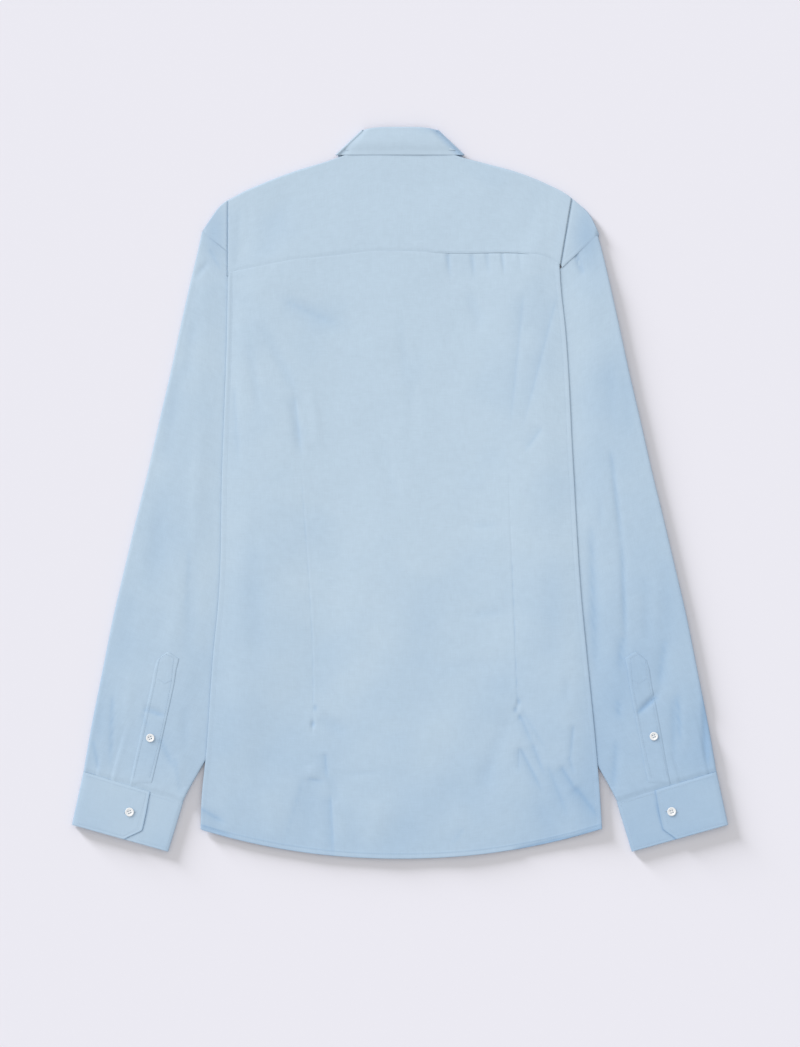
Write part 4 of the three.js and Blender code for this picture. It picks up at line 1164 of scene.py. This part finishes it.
def cuff_rows(side):
    """Rows of topstitch on a cuff, just inside its edges and its overlap."""
    sign = SIGNS[side]
    overlap = CUFF_OVERLAP[side]
    corners = [
        (0.03, 0.058), (CUFF_CUT_CORNER - 0.018, 0.058), (overlap - 0.03, CUFF_CUT_HEIGHT + 0.012),
        (overlap - 0.03, 0.945), (0.03, 0.945),
    ]
    under = [(overlap + 0.01, 0.058), (0.97, 0.058), (0.97, 0.945), (overlap + 0.01, 0.945)]
    rows = []
    for shares, level in ((corners, OVER_CUFF_LEVEL + 0.22), (under, UNDER_CUFF_LEVEL + 0.2)):
        points = [cuff_point(share, up) for share, up in shares]
        rows.append([(sign * out, y, level) for out, y in points])
    return rows


def placket_rows(side):
    """Rows of topstitch on a sleeve placket: its edges, its point and the bar across it."""
    sign = SIGNS[side]

    def along_line(corners):
        points = np.array(corners, float)
        along = np.concatenate([[0], np.cumsum(np.hypot(*np.diff(points, axis=0).T))])
        places = np.arange(0, along[-1], 2)
        out = np.interp(places, along, points[:, 0])
        y = np.interp(places, along, points[:, 1])
        return np.stack([sign * out, y, sleeve_height(side, out, y) + 0.95], axis=1)

    shift = PLACKET_SHIFT[side]
    inner = [(253.5, -184), (256.5, -212), (263.2, -246), (270.8, -280), (280.5, -318)]
    outer = [(269.5, -184.5), (274.5, -212), (282, -246), (289.4, -279.5), (298.5, -318)]
    inner = [(out + shift * (1 - share), y) for (out, y), share in zip(inner, (0, 0.2, 0.4, 0.6, 0.85))]
    outer = [(out + shift * (1 - share), y) for (out, y), share in zip(outer, (0, 0.2, 0.4, 0.6, 0.85))]
    tip = (262 + shift, -179.5)
    bar = [(255.5 + shift * 0.9, -208), (263 + shift * 0.9, -213), (273 + shift * 0.9, -206)]
    return [along_line(inner[::-1] + [tip] + outer), along_line(bar)]


def button_thread(name, places):
    """Two bars of thread across the holes of each button."""
    rows = []
    for (x, y, z), reach in places:
        for side in (-1, 1):
            rows.append([(x - reach, y + side * reach, z), (x + reach, y + side * reach, z)])
    return stitches(name, rows, pitch=2 * places[0][1], length=3.0, width=0.55, lift=0)


def new_group(name, inputs, outputs):
    group = bpy.data.node_groups.new(name, "ShaderNodeTree")
    for title, kind, value in inputs:
        socket = group.interface.new_socket(title, in_out="INPUT", socket_type=kind)
        if value is not None:
            socket.default_value = value
    for title, kind in outputs:
        group.interface.new_socket(title, in_out="OUTPUT", socket_type=kind)
    start = group.nodes.new("NodeGroupInput")
    end = group.nodes.new("NodeGroupOutput")
    return group, start, end


def math_node(tree, operation, first, second=None):
    node = tree.nodes.new("ShaderNodeMath")
    node.operation = operation
    for number, value in enumerate((first, second)):
        if value is None:
            continue
        if isinstance(value, (int, float)):
            node.inputs[number].default_value = value
        else:
            tree.links.new(value, node.inputs[number])
    return node.outputs[0]


def weave_group():
    """Plain weave of fine threads: its height, and the slight unevenness of its colour."""
    existing = bpy.data.node_groups.get("Poplin weave")
    if existing:
        return existing
    group, start, end = new_group(
        "Poplin weave",
        [("Vector", "NodeSocketVector", None), ("Thread pitch", "NodeSocketFloat", THREAD_PITCH)],
        [("Height", "NodeSocketFloat"), ("Tone", "NodeSocketFloat")],
    )
    parts = group.nodes.new("ShaderNodeSeparateXYZ")
    group.links.new(start.outputs["Vector"], parts.inputs[0])
    waves = []
    for axis in ("X", "Y"):
        count = math_node(group, "DIVIDE", parts.outputs[axis], start.outputs["Thread pitch"])
        waves.append(math_node(group, "SINE", math_node(group, "MULTIPLY", count, 2 * math.pi)))
    product = math_node(group, "MULTIPLY", waves[0], waves[1])
    height = math_node(group, "MULTIPLY_ADD", product, 0.5)
    height.node.inputs[2].default_value = 0.5
    slubs = []
    for along, across in ((60, 1300), (1300, 60)):
        stretch = group.nodes.new("ShaderNodeVectorMath")
        stretch.operation = "MULTIPLY"
        stretch.inputs[1].default_value = (along, across, 1)
        group.links.new(start.outputs["Vector"], stretch.inputs[0])
        noise = group.nodes.new("ShaderNodeTexNoise")
        noise.noise_dimensions = "2D"
        noise.inputs["Scale"].default_value = 1
        noise.inputs["Detail"].default_value = 3
        group.links.new(stretch.outputs[0], noise.inputs["Vector"])
        slubs.append(noise.outputs["Fac"])
    blotch = group.nodes.new("ShaderNodeTexNoise")
    blotch.noise_dimensions = "2D"
    blotch.inputs["Scale"].default_value = 120
    blotch.inputs["Detail"].default_value = 4
    blotch.inputs["Roughness"].default_value = 0.7
    group.links.new(start.outputs["Vector"], blotch.inputs["Vector"])
    threads = math_node(group, "MULTIPLY", math_node(group, "ADD", slubs[0], slubs[1]), 0.3)
    slub = math_node(group, "ADD", threads, math_node(group, "MULTIPLY", blotch.outputs["Fac"], 0.4))
    group.links.new(height, end.inputs["Height"])
    group.links.new(slub, end.inputs["Tone"])
    return group


def mix_colours(tree, share, first, second, blend="MIX"):
    node = tree.nodes.new("ShaderNodeMix")
    node.data_type = "RGBA"
    node.blend_type = blend
    for title, value in (("Factor", share), ("A", first), ("B", second)):
        socket = node.inputs[title]
        if isinstance(value, (float, tuple)):
            socket.default_value = value
        else:
            tree.links.new(value, socket)
    return node.outputs["Result"]


def cloth_material(name, colour, painted_shade, pitch, roughness, contrast):
    """Woven cotton with a faint sheen; its threads follow the piece's own flat layout."""
    material = bpy.data.materials.new(name)
    material.use_nodes = True
    tree = material.node_tree
    shader = tree.nodes["Principled BSDF"]
    layout = tree.nodes.new("ShaderNodeUVMap")
    layout.uv_map = "weave"
    weave = tree.nodes.new("ShaderNodeGroup")
    weave.node_tree = weave_group()
    weave.inputs["Thread pitch"].default_value = pitch
    tree.links.new(layout.outputs["UV"], weave.inputs["Vector"])
    tone = tree.nodes.new("ShaderNodeMapRange")
    tone.inputs["From Min"].default_value = 0.3
    tone.inputs["From Max"].default_value = 0.7
    tree.links.new(weave.outputs["Tone"], tone.inputs["Value"])
    # The point layer of painted shade and random tone mixes the cloth's colour towards the painted shade
    # colour
    depth = tree.nodes.new("ShaderNodeAttribute")
    depth.attribute_name = "painted_shade_and_mottle"
    hue = mix_colours(tree, depth.outputs["Fac"], (*colour, 1), (*painted_shade, 1))
    dark = mix_colours(tree, 1.0, hue, (*[1 - contrast] * 3, 1), "MULTIPLY")
    light = mix_colours(tree, 1.0, hue, (*[1 + contrast] * 3, 1), "MULTIPLY")
    tree.links.new(mix_colours(tree, tone.outputs["Result"], dark, light), shader.inputs["Base Color"])
    bump = tree.nodes.new("ShaderNodeBump")
    bump.inputs["Strength"].default_value = 0.25
    bump.inputs["Distance"].default_value = 0.00008
    tree.links.new(weave.outputs["Height"], bump.inputs["Height"])
    tree.links.new(bump.outputs["Normal"], shader.inputs["Normal"])
    shader.inputs["Roughness"].default_value = roughness
    shader.inputs["Sheen Weight"].default_value = 0.2
    shader.inputs["Sheen Roughness"].default_value = 0.45
    shader.inputs["Specular IOR Level"].default_value = 0.25
    return material


def plain_material(name, colour, roughness, coat=0.0):
    material = bpy.data.materials.new(name)
    material.use_nodes = True
    shader = material.node_tree.nodes["Principled BSDF"]
    shader.inputs["Base Color"].default_value = (*colour, 1)
    shader.inputs["Roughness"].default_value = roughness
    shader.inputs["Coat Weight"].default_value = coat
    return material


def shirt_material(kind):
    """The material of that kind, made when it is first asked for."""
    existing = bpy.data.materials.get(kind)
    if existing:
        return existing
    colours = bpy.context.scene.shirt_colours
    if kind == "Poplin":
        return cloth_material(kind, colours.cloth, colours.painted_shade_cloth, THREAD_PITCH, 0.62, 0.05)
    if kind == "Stiffened poplin":
        return cloth_material(kind, colours.cloth, colours.painted_shade_cloth, THREAD_PITCH, 0.58, 0.035)
    if kind == "Thread":
        return plain_material(kind, colours.thread, 0.6)
    if kind == "Button thread":
        return plain_material(kind, colours.button_thread, 0.6)
    return plain_material(kind, colours.button, 0.25, 0.4)


def declare(piece, kind, nodes=()):
    """Gives a piece its material, hangs it on the root body and hides the model's parts that it stands for.
    """
    piece.data.materials.clear()
    piece.data.materials.append(shirt_material(kind))
    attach(piece, "root")
    if nodes:
        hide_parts(*nodes)


class ShirtSizes(bpy.types.PropertyGroup):
    cuff_button: bpy.props.FloatProperty(
        name="Cuff button", description="Diameter of the buttons on the cuffs", default=0.0100,
        unit="LENGTH", subtype="DISTANCE",
    )
    placket_button: bpy.props.FloatProperty(
        name="Placket button", description="Diameter of the buttons on the sleeve plackets", default=0.0095,
        unit="LENGTH", subtype="DISTANCE",
    )
    front_button: bpy.props.FloatProperty(
        name="Front button", description="Diameter of the buttons down the front", default=0.011,
        unit="LENGTH", subtype="DISTANCE",
    )
    front_pitch: bpy.props.FloatProperty(
        name="Front pitch", description="Distance between the buttons down the front", default=0.088,
        unit="LENGTH", subtype="DISTANCE",
    )


class ShirtColours(bpy.types.PropertyGroup):
    cloth: bpy.props.FloatVectorProperty(
        name="Cloth", description="Colour of the poplin", default=(0.491, 0.615, 0.733), subtype="COLOR",
        min=0, max=1,
    )
    # Colour of painted shade: the cloth's colour is mixed towards it where shade is painted
    painted_shade_cloth: bpy.props.FloatVectorProperty(
        name="Deep cloth", description="Colour of the poplin where its blue is deepest",
        default=(0.304, 0.456, 0.645), subtype="COLOR", min=0, max=1,
    )
    thread: bpy.props.FloatVectorProperty(
        name="Thread", description="Colour of the sewing thread", default=(0.50, 0.62, 0.74), subtype="COLOR",
        min=0, max=1,
    )
    button_thread: bpy.props.FloatVectorProperty(
        name="Button thread", description="Colour of the thread that holds the buttons",
        default=(0.42, 0.5, 0.58), subtype="COLOR", min=0, max=1,
    )
    button: bpy.props.FloatVectorProperty(
        name="Buttons", description="Colour of the buttons", default=(0.86, 0.87, 0.88), subtype="COLOR",
        min=0, max=1,
    )
    floor: bpy.props.FloatVectorProperty(
        name="Floor", description="Colour of the floor", default=(0.787, 0.778, 0.822), subtype="COLOR",
        min=0, max=1,
    )


class SHIRT_OT_stage(bpy.types.Operator):
    """Make the floor, the lights and the camera"""

    bl_idname = "shirt.stage"
    bl_label = "Stage"

    def execute(self, context):
        scene = context.scene
        bm = bmesh.new()
        bmesh.ops.create_grid(bm, x_segments=1, y_segments=1, size=4)
        floor = finish_mesh("floor", bm)
        floor.data.materials.append(plain_material("Floor paper", scene.shirt_colours.floor, 0.9))
        world = bpy.data.worlds.new("Studio")
        world.use_nodes = True
        sky = world.node_tree.nodes["Background"]
        sky.inputs["Color"].default_value = (1.0, 1.0, 1.0, 1)
        sky.inputs["Strength"].default_value = SKY_STRENGTH
        scene.world = world
        for facts in KEYS:
            self.add_key(scene, floor, facts)
        lens = bpy.data.cameras.new("Camera")
        lens.sensor_width = 36
        lens.lens = 36 * CAMERA_AWAY / PICTURE_HEIGHT
        lens.clip_end = 40
        camera = bpy.data.objects.new("Camera", lens)
        camera.location = (0, PICTURE_CENTRE_Y, CAMERA_AWAY)
        scene.collection.objects.link(camera)
        scene.camera = camera
        scene.view_settings.view_transform = "Standard"
        return {"FINISHED"}

    def add_key(self, scene, floor, facts):
        lamp = bpy.data.lights.new(facts["name"], "SUN")
        lamp.energy = facts["strength"]
        lamp.angle = math.radians(facts["softness"])
        lamp.use_shadow = facts["shadow"]
        if facts["on_floor"]:
            lamp.color = FLOOR_LIGHT
        key = bpy.data.objects.new(facts["name"], lamp)
        scene.collection.objects.link(key)
        key.rotation_euler = (0, math.radians(90 - facts["height"]), math.radians(KEY_FROM))
        lit = bpy.data.collections.new(facts["name"])
        lit.objects.link(floor)
        key.light_linking.receiver_collection = lit
        lit.collection_objects[0].light_linking.link_state = "INCLUDE" if facts["on_floor"] else "EXCLUDE"


class SHIRT_OT_back(bpy.types.Operator):
    """Make the back panel with its darts, hem and side seams"""

    bl_idname = "shirt.back"
    bl_label = "Back"

    def execute(self, context):
        panel = build_back()
        across = np.linspace(-216, 216, 160)
        above_hem = hem_y(across) + HEM_STITCH_IN
        rows = [np.stack([across, above_hem, back_height(across, above_hem)], axis=1)]
        for sign in (-1, 1):
            y = np.linspace(-366, 236, 260)
            x = sign * (half_width(np.full(y.shape, sign * 1.0), y) - SIDE_STITCH_IN)
            rows.append(np.stack([x, y, back_height(x, y)], axis=1))
        sewing = stitches("back_stitches", rows)
        declare(sewing, "Thread")
        declare(
            panel, "Poplin", ["back"],
        )
        return {"FINISHED"}


class SHIRT_OT_yoke(bpy.types.Operator):
    """Make the yoke with its tucks at the shoulders"""

    bl_idname = "shirt.yoke"
    bl_label = "Yoke"

    def execute(self, context):
        yoke = build_yoke()
        x = np.linspace(-188, 175, 150)
        y = yoke_seam_y(x) + YOKE_STITCH_IN
        rows = [np.stack([x, y, yoke_height(x, y)], axis=1)]
        sewing = stitches("yoke_stitches", rows)
        declare(sewing, "Thread")
        declare(
            yoke, "Poplin", ["yoke"],
        )
        return {"FINISHED"}


class SHIRT_OT_fronts(bpy.types.Operator):
    """Make the two fronts, the placket and the buttons below it"""

    bl_idname = "shirt.fronts"
    bl_label = "Fronts"

    def execute(self, context):
        sizes = context.scene.shirt_sizes
        for side in ("left", "right"):
            declare(
                build_front(side), "Poplin", [f"front_{side}"],
            )
        declare(
            build_front_placket(), "Stiffened poplin", ["front_placket"],
        )
        for number in range(1, 7):
            place = (0, TOP_BUTTON_Y - (number - 1) * sizes.front_pitch / MM, 1.15)
            button = build_button(f"button_front_{number}", sizes.front_button / MM, 1.5, place)
            declare(button, "Button", [f"front_button_{number}"])
        button = build_button("button_stand", sizes.front_button / MM, 1.0, (0, STAND_BUTTON_Y, 0.75))
        declare(button, "Button", ["stand_button"])
        return {"FINISHED"}


class SHIRT_OT_sleeves(bpy.types.Operator):
    """Make the two sleeves and their pointed plackets"""

    bl_idname = "shirt.sleeves"
    bl_label = "Sleeves"

    def execute(self, context):
        for side in ("left", "right"):
            sleeve = build_sleeve(side)
            declare(
                sleeve, "Poplin", [f"sleeve_{side}"],
            )
            placket = build_sleeve_placket(side)
            sewing = stitches(f"sleeve_placket_stitches_{side}", placket_rows(side))
            declare(sewing, "Thread")
            declare(
                placket, "Poplin", [f"sleeve_placket_{side}"],
            )
        return {"FINISHED"}


class SHIRT_OT_cuffs(bpy.types.Operator):
    """Make the two cuffs with the buttons of the cuffs and plackets"""

    bl_idname = "shirt.cuffs"
    bl_label = "Cuffs"

    def execute(self, context):
        sizes = context.scene.shirt_sizes
        for side, sign in (("left", -1), ("right", 1)):
            x, y = CUFF_BUTTON_PLACE[side]
            hole = [(sign * (x - 7), y + 0.6, 5.5), (sign * (x + 7), y - 0.6, 5.5)]
            sewing = stitches(f"cuff_stitches_{side}", cuff_rows(side))
            buttonhole = stitches(f"cuff_buttonhole_{side}", [hole], pitch=0.6, length=0.8, width=1.5)
            for piece in (sewing, buttonhole):
                declare(piece, "Thread")
            declare(
                build_cuff(side), "Stiffened poplin", [f"cuff_{side}"],
            )
            button = build_button(f"button_cuff_{side}", sizes.cuff_button / MM, 2, (sign * x, y, 7.1))
            declare(button, "Button", [f"cuff_button_{side}"])
            x, y = PLACKET_BUTTON_PLACE[side]
            level = float(sleeve_height(side, x, y)) + 2.6
            place = (sign * x, y, level)
            button = build_button(f"button_placket_{side}", sizes.placket_button / MM, 2, place)
            declare(button, "Button", [f"placket_button_{side}"])
            cuff_x, cuff_y = CUFF_BUTTON_PLACE[side]
            places = [((sign * cuff_x, cuff_y, 7.3), 1.4), ((sign * x, y, level + 0.2), 1.2)]
            declare(button_thread(f"button_thread_{side}", places), "Button thread")
        return {"FINISHED"}


class SHIRT_OT_collar(bpy.types.Operator):
    """Make the collar's stand and leaf"""

    bl_idname = "shirt.collar"
    bl_label = "Collar"

    def execute(self, context):
        stand = build_collar_stand()
        declare(
            stand, "Stiffened poplin", ["collar_stand"],
        )
        leaf = build_collar_leaf()
        declare(
            leaf, "Stiffened poplin", ["collar_leaf"],
        )
        return {"FINISHED"}


class SHIRT_PT_panel(bpy.types.Panel):
    """Lists the steps that build the shirt"""

    bl_idname = "SHIRT_PT_panel"
    bl_label = "Dress shirt"
    bl_space_type = "VIEW_3D"
    bl_region_type = "UI"
    bl_category = "Shirt"

    def draw(self, context):
        for step in STEPS:
            self.layout.operator(step.bl_idname)
        for settings in (context.scene.shirt_sizes, context.scene.shirt_colours):
            for name in settings.__annotations__:
                self.layout.prop(settings, name)


STEPS = (
    SHIRT_OT_stage, SHIRT_OT_fronts, SHIRT_OT_sleeves, SHIRT_OT_back,
    SHIRT_OT_yoke, SHIRT_OT_cuffs, SHIRT_OT_collar,
)
SETTINGS = (ShirtSizes, ShirtColours)


def register():
    for part in (*SETTINGS, *STEPS, SHIRT_PT_panel):
        bpy.utils.register_class(part)
    bpy.types.Scene.shirt_sizes = bpy.props.PointerProperty(type=ShirtSizes)
    bpy.types.Scene.shirt_colours = bpy.props.PointerProperty(type=ShirtColours)


def unregister():
    del bpy.types.Scene.shirt_colours
    del bpy.types.Scene.shirt_sizes
    for part in (SHIRT_PT_panel, *reversed(STEPS), *reversed(SETTINGS)):
        bpy.utils.unregister_class(part)


def main():
    register()
    bpy.ops.shirt.stage()
    bpy.ops.shirt.fronts()
    bpy.ops.shirt.sleeves()
    bpy.ops.shirt.back()
    bpy.ops.shirt.yoke()
    bpy.ops.shirt.cuffs()
    bpy.ops.shirt.collar()


if __name__ == "__main__":
    main()
